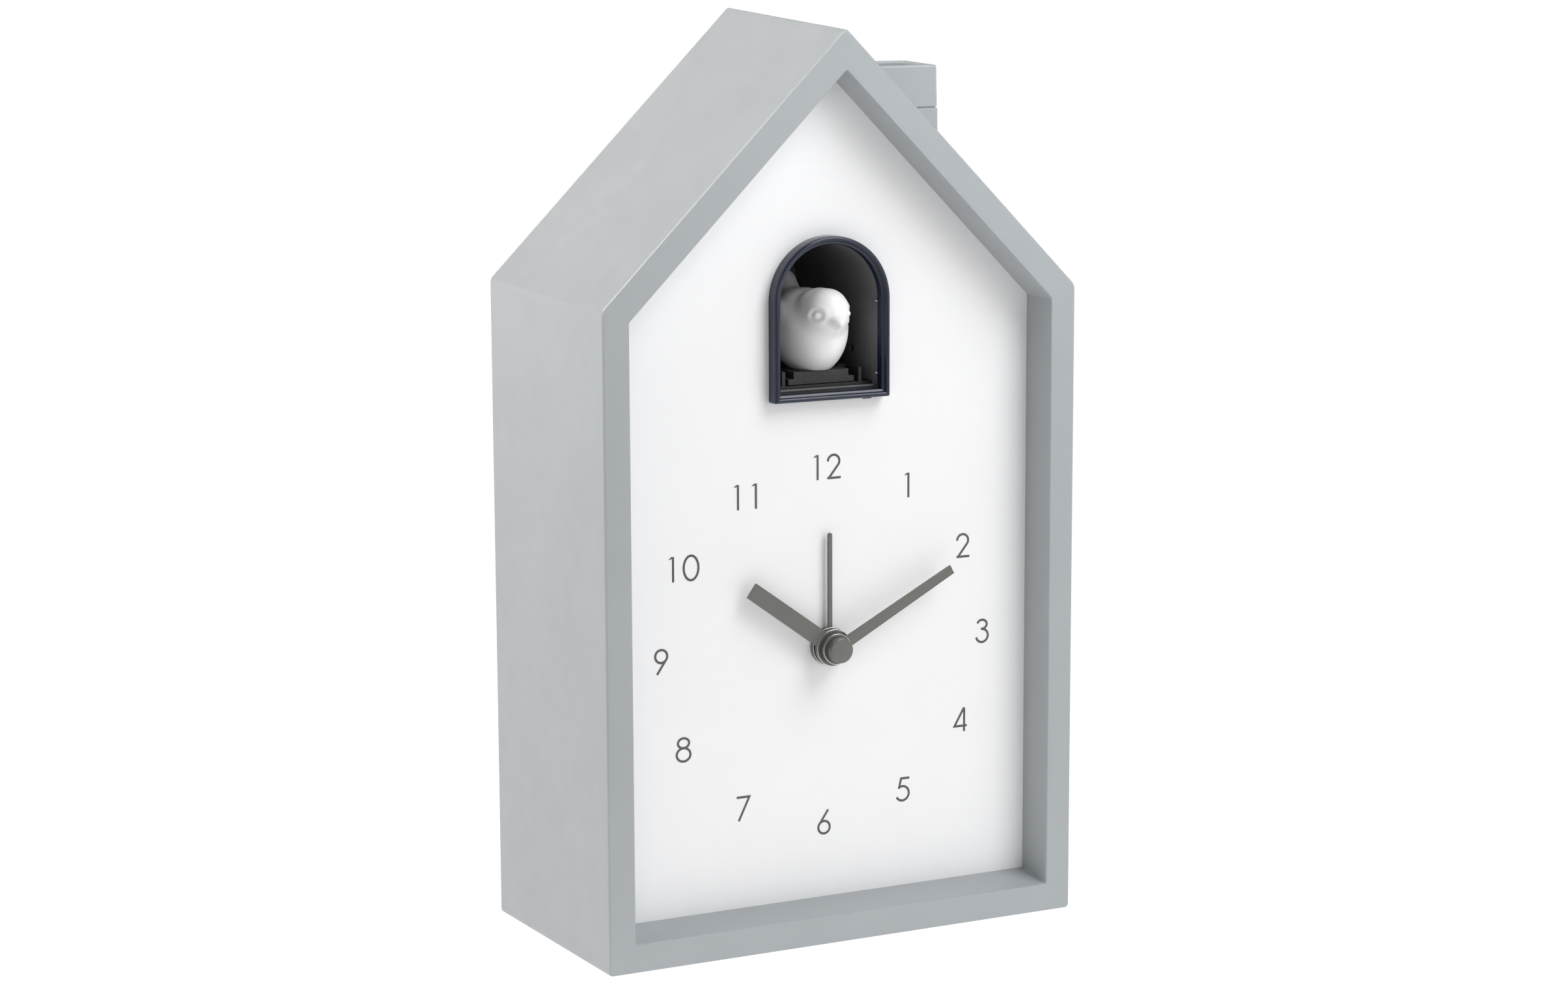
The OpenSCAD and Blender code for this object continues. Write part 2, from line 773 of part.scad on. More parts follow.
module alarm_wheel() {
    color(ACETAL) difference() {
        union() {
            gear_y(hub, alarm_m, 30, 0, alarm_layer[0], alarm_layer[1]);
            rod_y(hub, alarm_pipe[0], dial_y - alarm_h[1], alarm_layer[1]);
        }
        rod_y(hub, alarm_pipe[1], dial_y - 10, alarm_layer[1] + 1);
    }
}

set_shaft_r = 1.2;
knob_r = 6.5;
knob_y = [cover_y + 0.2, rear_y - 0.25];

module setting_shaft() {
    color(ACETAL) union() {
        rod_y(setting_at, set_shaft_r, dial_back + 0.6, knob_y[1] - 0.8);
        gear_y(setting_at, motion_m, 12, setting_phase, motion_layer[0], motion_layer[1]);
    }
}

module alarm_shaft() {
    color(ACETAL) union() {
        rod_y(alarm_at, set_shaft_r, dial_back + 0.6, knob_y[1] - 0.8);
        gear_y(alarm_at, alarm_m, 30, mesh(0, 30, 30, alarm_dir), alarm_layer[0], alarm_layer[1]);
    }
}

// Round knob with finger grooves around its rim
module knob(at) {
    difference() {
        rod_y(at, knob_r, knob_y[0], knob_y[1]);
        for (a = [0 : 20 : 340]) rod_y(at + polar(knob_r + 0.35, a), 0.7, knob_y[0] - 1, knob_y[1] + 1);
        rod_y(at, set_shaft_r, knob_y[0] - 1, knob_y[1] - 0.8);
    }
}

module time_knob() {
    color(DARK) knob(setting_at);
}

module alarm_knob() {
    color(DARK) knob(alarm_at);
}

module movement_board() {
    color(BOARD_GREEN) union() {
        block([13, 26.2], [0, 0.88], [hub_z - 20.5, hub_z + 8]);
        block([16, 21], [-1.2, 0], [hub_z - 2, hub_z + 3]);
    }
}

module quartz_crystal() {
    color(STEEL) rod_z([20, -1], 1, hub_z - 18, hub_z - 12);
}

// ---------------------------------------------------------------- rear cover and power

box_x = 31;
box_z = [9, 42];
box_y = [4.4, cover_in];
door_half = 30;
door_z = [10.2, 41];
hinge_at = [cover_y - 1, 11.2];
slider_at = [32, alarm_at[1]];
slider_travel = 4;
speaker_at = [-28, 100];
main_board_screw_at = [[25, 65], [44, 65], [25, 106], [42, 106]];

module rear_cover() {
    color(CASE_GREY) difference() {
        union() {
            house_plate(cover_in, cover_y);
            for (p = main_board_screw_at) rod_y(p, 2, cover_in - 2.7, cover_in);
        }
        for (p = cover_screw_at) rod_y(p, screw_r + 0.1, cover_in - 1, cover_y + 1);
        for (p = [setting_at, alarm_at]) rod_y(p, 1.5, cover_in - 1, cover_y + 1);
        block([-door_half - 0.3, door_half + 0.3], [cover_in - 1, cover_y + 1],
            [hinge_at[1] - 1.6, door_z[1] + 0.3]);
        rod_x(hinge_at, 0.65, -door_half - 1.6, door_half + 1.6);
        block([slider_at[0] - 1.8, slider_at[0] + slider_travel + 1.8],
            [cover_in - 1, cover_y + 1], [slider_at[1] - 1.4, slider_at[1] + 1.4]);
        for (i = [-3 : 3]) {
            half = sqrt(121 - 9 * i * i * 1.2);
            block([speaker_at[0] - half, speaker_at[0] + half], [cover_in - 1, cover_y + 1],
                [speaker_at[1] + 3 * i - 0.7, speaker_at[1] + 3 * i + 0.7]);
        }
        for (p = main_board_screw_at) rod_y(p, small_screw_r, cover_in - 4, cover_in + 0.6);
    }
}

module cover_screws() {
    color(STEEL) for (p = cover_screw_at)
        screw_y(p, screw_r - 0.02, cover_y, 9);
}

module battery_box() {
    color(DARK) difference() {
        block([-box_x, box_x], box_y, box_z);
        block([-box_x + 1.2, box_x - 1.2], [box_y[0] + 1.2, box_y[1] + 1],
            [box_z[0] + 1.2, box_z[1] - 1.2]);
        // Room for the lower edge of the door as it opens
        rod_x(hinge_at, 1.55, -box_x - 1, box_x + 1);
    }
}

cell_r = 7.1;
cell_z = [18.2, 33];
cell_y = box_y[0] + 1.4 + cell_r;
contact_x = box_x - 1.2;

// One cell along X, with its positive end to the right
module cell(z) {
    rod_x([cell_y, z], cell_r, -21.2, contact_x - 1.5);
    rod_x([cell_y, z], 2.75, contact_x - 1.5, contact_x - 0.5);
}

module battery_cells() {
    color(STEEL) {
        cell(cell_z[0]);
        mirror([1, 0, 0]) cell(cell_z[1]);
    }
}

// Conical spring of four turns between the box wall and the cell's flat end
module cell_spring(z) {
    turns = 4;
    steps = 14;
    x0 = -contact_x + 0.45;
    x1 = -21.7;
    wire([for (i = [0 : turns * steps])
        let (t = i / (turns * steps), a = 360 * i / steps, r = 5 - 2.4 * t)
        [x0 + (x1 - x0) * t, cell_y + r * cos(a), z + r * sin(a)]], 0.4, [1, 0, 0], 6);
}

module battery_springs() {
    color(STEEL) {
        cell_spring(cell_z[0]);
        mirror([1, 0, 0]) cell_spring(cell_z[1]);
    }
}

module contact_plate(z) {
    block([contact_x - 0.5, contact_x], [cell_y - 4.5, cell_y + 4.5], [z - 5, z + 5]);
}

module battery_contacts() {
    color(STEEL) {
        contact_plate(cell_z[0]);
        mirror([1, 0, 0]) contact_plate(cell_z[1]);
    }
}

module battery_door() {
    color(CASE_GREY) difference() {
        union() {
            block([-door_half, door_half], [cover_y - 1.8, cover_y], door_z);
            rod_x(hinge_at, 0.6, -door_half - 1.4, door_half + 1.4);
        }
        // Thumb grip near the top edge
        for (i = [0 : 3])
            block([-8, 8], [cover_y - 0.5, cover_y + 1], [door_z[1] - 9 + 2 * i, door_z[1] - 8 + 2 * i]);
    }
}

module speaker_frame() {
    color(STEEL) difference() {
        union() {
            rod_y(speaker_at, 15, cover_in - 1.5, cover_in);
            rod_y(speaker_at, 12, cover_in - 4.5, cover_in - 1.5);
        }
        rod_y(speaker_at, 13.6, cover_in - 1, cover_in + 1);
        rod_y(speaker_at, 11.2, cover_in - 3.7, cover_in + 1);
    }
}

module speaker_cone() {
    color(DARK) translate([speaker_at[0], cover_in, speaker_at[1]]) rotate([90, 0, 0])
        rotate_extrude() polygon([[0, 3.4], [4, 3.4], [10.8, 0.95], [13.4, 0.95], [13.4, 0.65],
            [10.8, 0.45], [4, 2.9], [0, 2.9]]);
}

module speaker_magnet() {
    color(STEEL) rod_y(speaker_at, 7, cover_in - 7.5, cover_in - 4.5);
}

module main_board() {
    y1 = cover_in - 2.7;
    y0 = y1 - 1.6;
    color(BOARD_GREEN) difference() {
        union() {
            block([22, 47], [y0, y1], [62, 109]);
            block([29, 38], [y0 - 1.6, y0], [80, 89]);
            block([27, 33], [y0 - 5, y0], [66, 71]);
            rod_y([41, 98], 3, y0 - 7, y0);
            rod_y([33, 99], 2, y0 - 5, y0);
        }
        for (p = main_board_screw_at) rod_y(p, small_screw_r + 0.1, y0 - 1, y1 + 1);
    }
}

module alarm_switch() {
    color(STEEL) difference() {
        block([slider_at[0] - 5, slider_at[0] + 9], [cover_in - 4.5, cover_in],
            [slider_at[1] - 3.2, slider_at[1] + 3.2]);
        block([slider_at[0] - 1.9, slider_at[0] + slider_travel + 1.9], [cover_in - 2, cover_in + 1],
            [slider_at[1] - 1.6, slider_at[1] + 1.6]);
    }
}

module alarm_slider() {
    color(DARK) union() {
        block([slider_at[0] - 1.5, slider_at[0] + 1.5], [cover_in - 1.8, cover_y + 0.2],
            [slider_at[1] - 1.2, slider_at[1] + 1.2]);
        block([slider_at[0] - 2.2, slider_at[0] + 2.2], [cover_y + 0.15, cover_y + 1.8],
            [slider_at[1] - 2.4, slider_at[1] + 2.4]);
    }
}

// ---------------------------------------------------------------- chimney

rim_rise = 0.52;
neck_w = well_w - 0.4;
switch_top = board_z + 5.1;
stem_z = switch_top + 0.6;
plunger_r = 1.7;

module chimney_button() {
    z0 = chimney_joint + button_travel + 0.05;
    tilt = atan(rim_rise / chimney_w);
    color(CASE_GREY) difference() {
        union() {
            chimney_block(chimney_w - 0.1, z0, chimney_top + 3);
            chimney_block(neck_w, 158.5, z0 + 0.5);
            rod_z([chimney_x, 0], 2.5, stem_z, 159);
        }
        chimney_block(10.5, 167.2, chimney_top + 4);
        chimney_block(8.3, 160, chimney_top + 4);
        translate([chimney_x, -chimney_w / 2, chimney_top]) rotate([tilt, 0, 0])
            translate([-20, -20, 0]) cube([40, 60, 20]);
    }
}

module snooze_board() {
    color(BOARD_GREEN) difference() {
        block([14, 34.5], [-7, 7], [board_z, board_z + 1.6]);
        for (p = board_post_at) rod_z(p, small_screw_r + 0.1, board_z - 1, board_z + 2);
    }
}

module snooze_switch() {
    color(DARK) difference() {
        block([chimney_x - 3, chimney_x + 3], [-3, 3], [board_z + 1.6, switch_top]);
        rod_z([chimney_x, 0], plunger_r + 0.1, switch_top - 1, switch_top + 1);
    }
}

module switch_plunger() {
    color(DARK) rod_z([chimney_x, 0], plunger_r, switch_top - 0.5, stem_z);
}

// ---------------------------------------------------------------- output

case();
dial_plate();
door_frame();
bird_tunnel();
tunnel_screws();
bird();
bird_sled();
sled_pinion();
pinion_shaft();
drive_wheel();
idler_gear();
idler_pin();
drive_bracket();
bracket_screws();
motor_can();
motor_shaft();
motor_pinion();
hour_hand();
minute_hand();
alarm_hand();
hub_cap();
movement_front();
movement_back();
movement_screws();
train_bridge();
stator();
coil_bobbin();
coil_winding();
rotor();
fifth_wheel();
fourth_wheel();
third_wheel();
centre_wheel();
minute_arbor();
motion_wheel();
hour_wheel();
alarm_wheel();
setting_shaft();
time_knob();
alarm_shaft();
alarm_knob();
movement_board();
quartz_crystal();
rear_cover();
cover_screws();
battery_box();
battery_cells();
battery_springs();
battery_contacts();
battery_door();
speaker_frame();
speaker_cone();
speaker_magnet();
main_board();
alarm_switch();
alarm_slider();
chimney_button();
switch_plunger();
snooze_board();
snooze_switch();
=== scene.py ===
"""Looks of a birdhouse cuckoo alarm clock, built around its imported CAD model.

Lengths in this script are millimetres and are scaled to metres when a mesh is made.
The dial faces -Y, +Z is up and +X is to the right as the dial is read.
"""

import json
from math import cos, pi, radians, sin, tan

import bmesh
import bpy
import numpy as np
from mathutils import Matrix, Vector


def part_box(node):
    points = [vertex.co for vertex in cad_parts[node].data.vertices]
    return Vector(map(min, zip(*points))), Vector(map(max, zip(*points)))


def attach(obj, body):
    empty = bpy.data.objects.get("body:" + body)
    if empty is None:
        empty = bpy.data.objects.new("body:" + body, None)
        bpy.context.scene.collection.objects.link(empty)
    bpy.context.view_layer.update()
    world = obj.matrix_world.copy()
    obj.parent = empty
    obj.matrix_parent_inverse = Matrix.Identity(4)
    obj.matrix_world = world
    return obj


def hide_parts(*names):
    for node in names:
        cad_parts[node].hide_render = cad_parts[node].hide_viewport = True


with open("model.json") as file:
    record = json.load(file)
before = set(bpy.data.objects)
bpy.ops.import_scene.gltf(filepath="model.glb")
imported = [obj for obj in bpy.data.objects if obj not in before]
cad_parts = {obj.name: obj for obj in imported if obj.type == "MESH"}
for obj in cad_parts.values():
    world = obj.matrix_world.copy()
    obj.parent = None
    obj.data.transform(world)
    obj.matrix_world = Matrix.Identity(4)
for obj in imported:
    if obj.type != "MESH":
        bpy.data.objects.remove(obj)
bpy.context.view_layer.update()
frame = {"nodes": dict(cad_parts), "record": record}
MM = 0.001


def box_mm(node):
    """Lowest and highest corners of a CAD node, in millimetres."""
    lo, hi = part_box(node)
    return lo / MM, hi / MM


# ---------------------------------------------------------------- places taken from the frame

CASE_LO, CASE_HI = box_mm("case")
FRONT_Y, REAR_Y = CASE_LO.y, CASE_HI.y
DIAL_Y = box_mm("dial_plate")[0].y
HUB_Z = sum(c.z for c in box_mm("minute_arbor")) / 2
DOOR_LO, DOOR_HI = box_mm("door_frame")
TUNNEL_FRONT_Y = box_mm("bird_tunnel")[0].y
BIRD_FOOT = box_mm("bird_sled")[1].z
BUTTON_LO, BUTTON_HI = box_mm("chimney_button")
CAP_LO, CAP_HI = box_mm("hub_cap")

# Shape of the case, as in the CAD model
SIDE_DRAFT = 1.5
ROOF_DRAFT = 2.32
ROOF_SLOPE = radians(44.95)
WALL = 2.4
RIM = (5.63, 5.75, 5.78)
LEAN = (0.83, 0.67, 1.59)

# Shape of the door
FRAME_W = 1.6
DOOR_R = DOOR_HI.x - FRAME_W
SILL_Z = DOOR_LO.z + FRAME_W
ARCH_Z = DOOR_HI.z - FRAME_W - DOOR_R
FRAME_H = DIAL_Y - DOOR_LO.y


# ---------------------------------------------------------------- materials


def shader(name, color, rough, **sockets):
    """A Principled material and its node tree; sockets are further Principled inputs."""
    material = bpy.data.materials.new(name)
    material.use_nodes = True
    tree = material.node_tree
    bsdf = tree.nodes["Principled BSDF"]
    bsdf.inputs["Base Color"].default_value = (*color, 1)
    bsdf.inputs["Roughness"].default_value = rough
    for key, value in sockets.items():
        bsdf.inputs[key.replace("_", " ")].default_value = value
    return material, tree, bsdf


def coordinates(tree, stretch=(1, 1, 1)):
    """Object coordinates in millimetres, with each axis scaled by stretch."""
    coord = tree.nodes.new("ShaderNodeTexCoord")
    mapping = tree.nodes.new("ShaderNodeMapping")
    mapping.inputs["Scale"].default_value = [s / MM for s in stretch]
    tree.links.new(coord.outputs["Object"], mapping.inputs["Vector"])
    return mapping.outputs["Vector"]


def noise(tree, vector, scale, detail=3.0):
    """Noise of scale cells per millimetre."""
    node = tree.nodes.new("ShaderNodeTexNoise")
    node.inputs["Scale"].default_value = scale
    node.inputs["Detail"].default_value = detail
    tree.links.new(vector, node.inputs["Vector"])
    return node.outputs["Fac"]


def mapped(tree, value, low, high):
    """value, spread from its usual 0.3 to 0.7 over low to high."""
    node = tree.nodes.new("ShaderNodeMapRange")
    node.inputs["From Min"].default_value = 0.3
    node.inputs["From Max"].default_value = 0.7
    node.inputs["To Min"].default_value = low
    node.inputs["To Max"].default_value = high
    tree.links.new(value, node.inputs["Value"])
    return node.outputs["Result"]


def tinted(tree, value, color, spread):
    """color, made darker and lighter by spread along value."""
    ramp = tree.nodes.new("ShaderNodeMix")
    ramp.data_type = "RGBA"
    ramp.inputs["A"].default_value = (*[c * (1 - spread) for c in color], 1)
    ramp.inputs["B"].default_value = (*[min(1, c * (1 + spread)) for c in color], 1)
    tree.links.new(value, ramp.inputs["Factor"])
    return ramp.outputs["Result"]


def bump(tree, bsdf, height, distance, strength=1.0):
    """Bumps bsdf by height, whose range of 0 to 1 stands for distance millimetres."""
    node = tree.nodes.new("ShaderNodeBump")
    node.inputs["Strength"].default_value = strength
    node.inputs["Distance"].default_value = distance * MM
    tree.links.new(height, node.inputs["Height"])
    tree.links.new(node.outputs["Normal"], bsdf.inputs["Normal"])


def moulded(name, color, rough, grain=2.5, depth=0.006, spread=0.03, rough_spread=0.06, **sockets):
    """Moulded plastic: a fine grain, faint cloudiness in its colour and uneven gloss."""
    material, tree, bsdf = shader(name, color, rough, **sockets)
    vector = coordinates(tree)
    cloud = mapped(tree, noise(tree, vector, 0.06, 2.0), 0, 1)
    tree.links.new(tinted(tree, cloud, color, spread), bsdf.inputs["Base Color"])
    patch = noise(tree, vector, 0.25, 4.0)
    gloss = mapped(tree, patch, rough - rough_spread, rough + rough_spread)
    tree.links.new(gloss, bsdf.inputs["Roughness"])
    bump(tree, bsdf, noise(tree, vector, grain, 4.0), depth)
    return material


def metal(name, color, rough, stretch=(1, 1, 1), grain=1.5, depth=0.004):
    """Metal with a drawn or brushed grain along the axis whose stretch is small."""
    material, tree, bsdf = shader(name, color, rough, Metallic=1.0)
    vector = coordinates(tree, stretch)
    streak = noise(tree, vector, grain, 5.0)
    tree.links.new(mapped(tree, streak, rough * 0.7, rough * 1.4), bsdf.inputs["Roughness"])
    tree.links.new(tinted(tree, streak, color, 0.12), bsdf.inputs["Base Color"])
    bump(tree, bsdf, streak, depth)
    return material


def windings(name, color, rough, pitch, axis):
    """Enamelled wire wound side by side; pitch is the wire's own width."""
    material, tree, bsdf = shader(name, color, rough, Metallic=0.7, Coat_Weight=0.6)
    wave = tree.nodes.new("ShaderNodeTexWave")
    wave.bands_direction = axis
    wave.inputs["Scale"].default_value = 1 / (pitch * 3.18)
    wave.inputs["Distortion"].default_value = 0.4
    tree.links.new(coordinates(tree), wave.inputs["Vector"])
    tree.links.new(tinted(tree, wave.outputs["Fac"], color, 0.35), bsdf.inputs["Base Color"])
    bump(tree, bsdf, wave.outputs["Fac"], pitch / 2)
    return material


def circuit_board(name, color):
    """Solder mask over copper tracks."""
    material, tree, bsdf = shader(name, color, 0.3, Coat_Weight=0.5, Coat_Roughness=0.15)
    cells = tree.nodes.new("ShaderNodeTexBrick")
    cells.inputs["Scale"].default_value = 0.45
    cells.inputs["Mortar Size"].default_value = 0.035
    cells.inputs["Color1"].default_value = (*color, 1)
    cells.inputs["Color2"].default_value = (*[c * 0.8 for c in color], 1)
    cells.inputs["Mortar"].default_value = (*[min(1, c * 2.2) for c in color], 1)
    tree.links.new(coordinates(tree, (1, 0.3, 1)), cells.inputs["Vector"])
    tree.links.new(cells.outputs["Color"], bsdf.inputs["Base Color"])
    bump(tree, bsdf, cells.outputs["Fac"], 0.02, 0.6)
    return material


def sanded(name, color, rough, grain, depth):
    """Plastic with a coarse spark-eroded texture."""
    material, tree, bsdf = shader(name, color, rough)
    vector = coordinates(tree)
    cells = tree.nodes.new("ShaderNodeTexVoronoi")
    cells.inputs["Scale"].default_value = grain
    tree.links.new(vector, cells.inputs["Vector"])
    speck = noise(tree, vector, grain * 0.8, 2.0)
    tree.links.new(tinted(tree, mapped(tree, speck, 0, 1), color, 0.5), bsdf.inputs["Base Color"])
    bump(tree, bsdf, cells.outputs["Distance"], depth)
    return material


MATERIALS = {
    "case_grey": moulded("case_grey", (0.365, 0.388, 0.405), 0.38, spread=0.02,
        Specular_IOR_Level=0.45),
    "dial_white": moulded("dial_white", (0.86, 0.86, 0.865), 0.55, grain=6, depth=0.002, spread=0.006),
    "navy_gloss": moulded("navy_gloss", (0.008, 0.014, 0.034), 0.25, depth=0.002, spread=0.08,
        rough_spread=0.04, Specular_IOR_Level=0.3, Coat_Weight=0.4, Coat_Roughness=0.05),
    # The tunnel plastic is made lighter than the black it is, which paints light on the tunnel's walls.
    "tunnel_black": moulded("tunnel_black", (0.16, 0.16, 0.163), 0.34, depth=0.004, spread=0.1),
    "sled_black": sanded("sled_black", (0.034, 0.034, 0.036), 0.5, 7.0, 0.05),
    "bird_white": moulded("bird_white", (0.87, 0.87, 0.87), 0.38, depth=0.003, spread=0.01,
        Subsurface_Weight=0.15, Subsurface_Scale=0.0012),
    "hand_grey": moulded("hand_grey", (0.150, 0.152, 0.140), 0.36, grain=5, depth=0.002, spread=0.05,
        Metallic=0.35),
    "knob_grey": moulded("knob_grey", (0.06, 0.062, 0.065), 0.42, grain=4, depth=0.01, spread=0.1),
    "steel": metal("steel", (0.55, 0.55, 0.56), 0.28, (1, 0.2, 1)),
    "nickel": metal("nickel", (0.66, 0.64, 0.6), 0.2),
    "brass": metal("brass", (0.65, 0.46, 0.2), 0.25),
    "copper": windings("copper", (0.55, 0.2, 0.08), 0.3, 0.16, "X"),
    "acetal": moulded("acetal", (0.76, 0.74, 0.66), 0.4, depth=0.004, spread=0.03,
        Subsurface_Weight=0.1, Subsurface_Scale=0.001),
    "movement_black": moulded("movement_black", (0.02, 0.02, 0.02), 0.45, grain=5, depth=0.01),
    "magnet_grey": metal("magnet_grey", (0.16, 0.16, 0.17), 0.5, grain=4, depth=0.02),
    "cell_wrap": moulded("cell_wrap", (0.07, 0.085, 0.1), 0.2, depth=0.002, spread=0.1, Coat_Weight=0.8),
    "cone_black": sanded("cone_black", (0.03, 0.03, 0.03), 0.8, 3.0, 0.03),
    "board_green": circuit_board("board_green", (0.02, 0.11, 0.05)),
}


def printed_ink():
    """Matt ink, a touch uneven, as it is laid down by a pad."""
    return moulded("dial_ink", (0.095, 0.088, 0.083), 0.6, grain=9, depth=0.002, spread=0.06)


def track_black():
    """A darker, rougher copy of the tunnel's black plastic, which paints shade on its floor, rails and
    front faces.
    """
    return moulded("track_black", (0.018, 0.018, 0.019), 0.5, grain=5, depth=0.01, spread=0.15)


def bright_edge():
    """A bare, lighter metal for the front edge of each painted hand boss; it also paints the highlight
    along that edge.
    """
    return metal("bright_edge", (0.62, 0.61, 0.58), 0.22, grain=3)


INK = printed_ink()
EDGE_HIGHLIGHT = bright_edge()
TRACK_SHADE = track_black()


# ---------------------------------------------------------------- meshes


def soften(obj, angle=32, weighted=True):
    """Smooth shading that keeps the edges over angle degrees sharp."""
    mesh = obj.data
    work = bmesh.new()
    work.from_mesh(mesh)
    limit = radians(angle)
    for face in work.faces:
        face.smooth = True
    for edge in work.edges:
        edge.smooth = len(edge.link_faces) == 2 and edge.calc_face_angle(pi) < limit
    work.to_mesh(mesh)
    work.free()
    if weighted:
        weights = obj.modifiers.new("face_weights", "WEIGHTED_NORMAL")
        weights.keep_sharp = True
        weights.weight = 90
    return obj


def solid(name, points, faces):
    """An object from points in millimetres, with its normals outward."""
    mesh = bpy.data.meshes.new(name)
    mesh.from_pydata([Vector(p) * MM for p in points], [], faces)
    work = bmesh.new()
    work.from_mesh(mesh)
    bmesh.ops.remove_doubles(work, verts=work.verts, dist=1e-7)
    bmesh.ops.recalc_face_normals(work, faces=work.faces)
    work.to_mesh(mesh)
    work.free()
    obj = bpy.data.objects.new(name, mesh)
    bpy.context.scene.collection.objects.link(obj)
    return obj


def joined(name, *objects):
    """One object from several, whose meshes stay separate shells."""
    work = bmesh.new()
    for obj in objects:
        work.from_mesh(obj.data)
        bpy.data.objects.remove(obj)
    mesh = bpy.data.meshes.new(name)
    work.to_mesh(mesh)
    work.free()
    obj = bpy.data.objects.new(name, mesh)
    bpy.context.scene.collection.objects.link(obj)
    return obj


def loft(name, rings, loop=False):
    """A skin through rings of equally many points; loop joins the last ring to the first, and
    otherwise both ends are capped."""
    count = len(rings[0])
    points = [p for ring in rings for p in ring]
    pairs = [(i, i + 1) for i in range(len(rings) - 1)]
    if loop:
        pairs.append((len(rings) - 1, 0))
    faces = [(a * count + k, a * count + (k + 1) % count, b * count + (k + 1) % count, b * count + k)
        for a, b in pairs for k in range(count)]
    if not loop:
        faces.append(tuple(range(count)))
        faces.append(tuple((len(rings) - 1) * count + k for k in range(count)))
    return solid(name, points, faces)


def rounded(corners, steps=4, closed=True):
    """The path through corners, each given as (point, radius), with every corner blended."""
    count = len(corners)
    path = []
    for i, (corner, radius) in enumerate(corners):
        corner = np.array(corner, float)
        if radius <= 0 or (not closed and i in (0, count - 1)):
            path.append(corner)
            continue
        before = np.array(corners[i - 1][0], float) - corner
        after = np.array(corners[(i + 1) % count][0], float) - corner
        a = corner + before * min(0.5, radius / np.linalg.norm(before))
        b = corner + after * min(0.5, radius / np.linalg.norm(after))
        for t in np.linspace(0, 1, steps + 1):
            path.append((1 - t) ** 2 * a + 2 * t * (1 - t) * corner + t * t * b)
    return path


def lathe(name, profile, x, z, sides=72):
    """A body turned about the line through (x, z) along Y; profile is (radius, y), and it closes
    on the axis or on itself."""
    rings = [[(x + r * cos(2 * pi * k / sides), y, z + r * sin(2 * pi * k / sides))
        for k in range(sides)] for r, y in profile]
    return loft(name, rings, loop=min(r for r, y in profile) > 0.01)


def carve(obj, *cutters):
    """Takes the cutters away from obj, and removes them."""
    for cutter in cutters:
        step = obj.modifiers.new("carve", "BOOLEAN")
        step.operation = "DIFFERENCE"
        step.solver = "EXACT"
        step.object = cutter
    depsgraph = bpy.context.evaluated_depsgraph_get()
    obj.data = bpy.data.meshes.new_from_object(obj.evaluated_get(depsgraph))
    obj.modifiers.clear()
    for cutter in cutters:
        bpy.data.objects.remove(cutter)
    return obj


def dress(obj, body, slot, *nodes, material=None, smooth=32, weighted=True):
    """Gives a piece its material and its body, and lets it stand for CAD nodes."""
    obj.data.materials.clear()
    obj.data.materials.append(material or MATERIALS[slot])
    soften(obj, smooth, weighted)
    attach(obj, body)
    if nodes:
        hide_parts(*nodes)
    return obj


def bevelled(node, body, slot, width, segments=2, angle=38):
    """A CAD node with its sharp edges rounded, which stands for the node."""
    mesh = frame["nodes"][node].data.copy()
    work = bmesh.new()
    work.from_mesh(mesh)
    bmesh.ops.remove_doubles(work, verts=work.verts, dist=2e-6)
    bmesh.ops.dissolve_limit(work, angle_limit=radians(1.0), verts=work.verts, edges=work.edges)
    work.to_mesh(mesh)
    work.free()
    obj = bpy.data.objects.new(node + "_rounded", mesh)
    bpy.context.scene.collection.objects.link(obj)
    rounding = obj.modifiers.new("rounding", "BEVEL")
    rounding.width = width * MM
    rounding.segments = segments
    rounding.limit_method = "ANGLE"
    rounding.angle_limit = radians(angle)
    rounding.use_clamp_overlap = True
    rounding.harden_normals = False
    return dress(obj, body, slot, node, smooth=angle)


def house(y, side, roof, floor, corner):
    """The house outline at depth y, set in by side, roof and floor, with rounded corners."""
    k = (y - FRONT_Y) / (REAR_Y - FRONT_Y)
    ridge = CASE_HI.z - ROOF_DRAFT / cos(ROOF_SLOPE)
    half = CASE_HI.x - SIDE_DRAFT * (1 - k) - side
    top = ridge + (ROOF_DRAFT * k - roof) / cos(ROOF_SLOPE)
    eave = top - half * tan(ROOF_SLOPE)
    corners = [(-half, floor), (half, floor), (half, eave), (0, top), (-half, eave)]
    return [(x, y, z) for x, z in rounded([(c, corner) for c in corners])]


def rounded_square(half, corner, x, z, rise=0.0, span=1.0):
    """A level square about (x, 0) with rounded corners; rise lifts its rear side over span."""
    corners = [(-half, -half), (half, -half), (half, half), (-half, half)]
    return [(x + p[0], p[1], z + rise * (p[1] + span / 2) / span)
        for p in rounded([(c, corner) for c in corners], steps=5)]


# ---------------------------------------------------------------- case and chimney


def chimney_axis():
    return (BUTTON_LO.x + BUTTON_HI.x) / 2


CHIMNEY_JOINT = 165.25
CHIMNEY_W = BUTTON_HI.x - BUTTON_LO.x + 0.1
RIM_RISE = 0.52
WELL = 5.85

# Fixings inside the case, as in the CAD model
COVER_T = 2
COVER_IN = box_mm("rear_cover")[1].y - COVER_T
SCREW_BORE = 1.0
BOSS_OUTER = 3.2
BOSS_FRONT_Y = 8
BORE_END_Y = 11
POST_R = 2
COVER_SCREWS = [(-48.8, 5), (48.8, 5), (-48.8, 118), (48.8, 118), (0, 177.8)]
BOARD_POSTS = (17, 31.5)
BOARD_TOP = 142.6


def roof_under(x, y, depth):
    """Height at (x, y) of the surface that lies depth under the roof."""
    k = (y - FRONT_Y) / (REAR_Y - FRONT_Y)
    ridge = CASE_HI.z - ROOF_DRAFT / cos(ROOF_SLOPE)
    return ridge + (ROOF_DRAFT * k - depth) / cos(ROOF_SLOPE) - abs(x) * tan(ROOF_SLOPE)


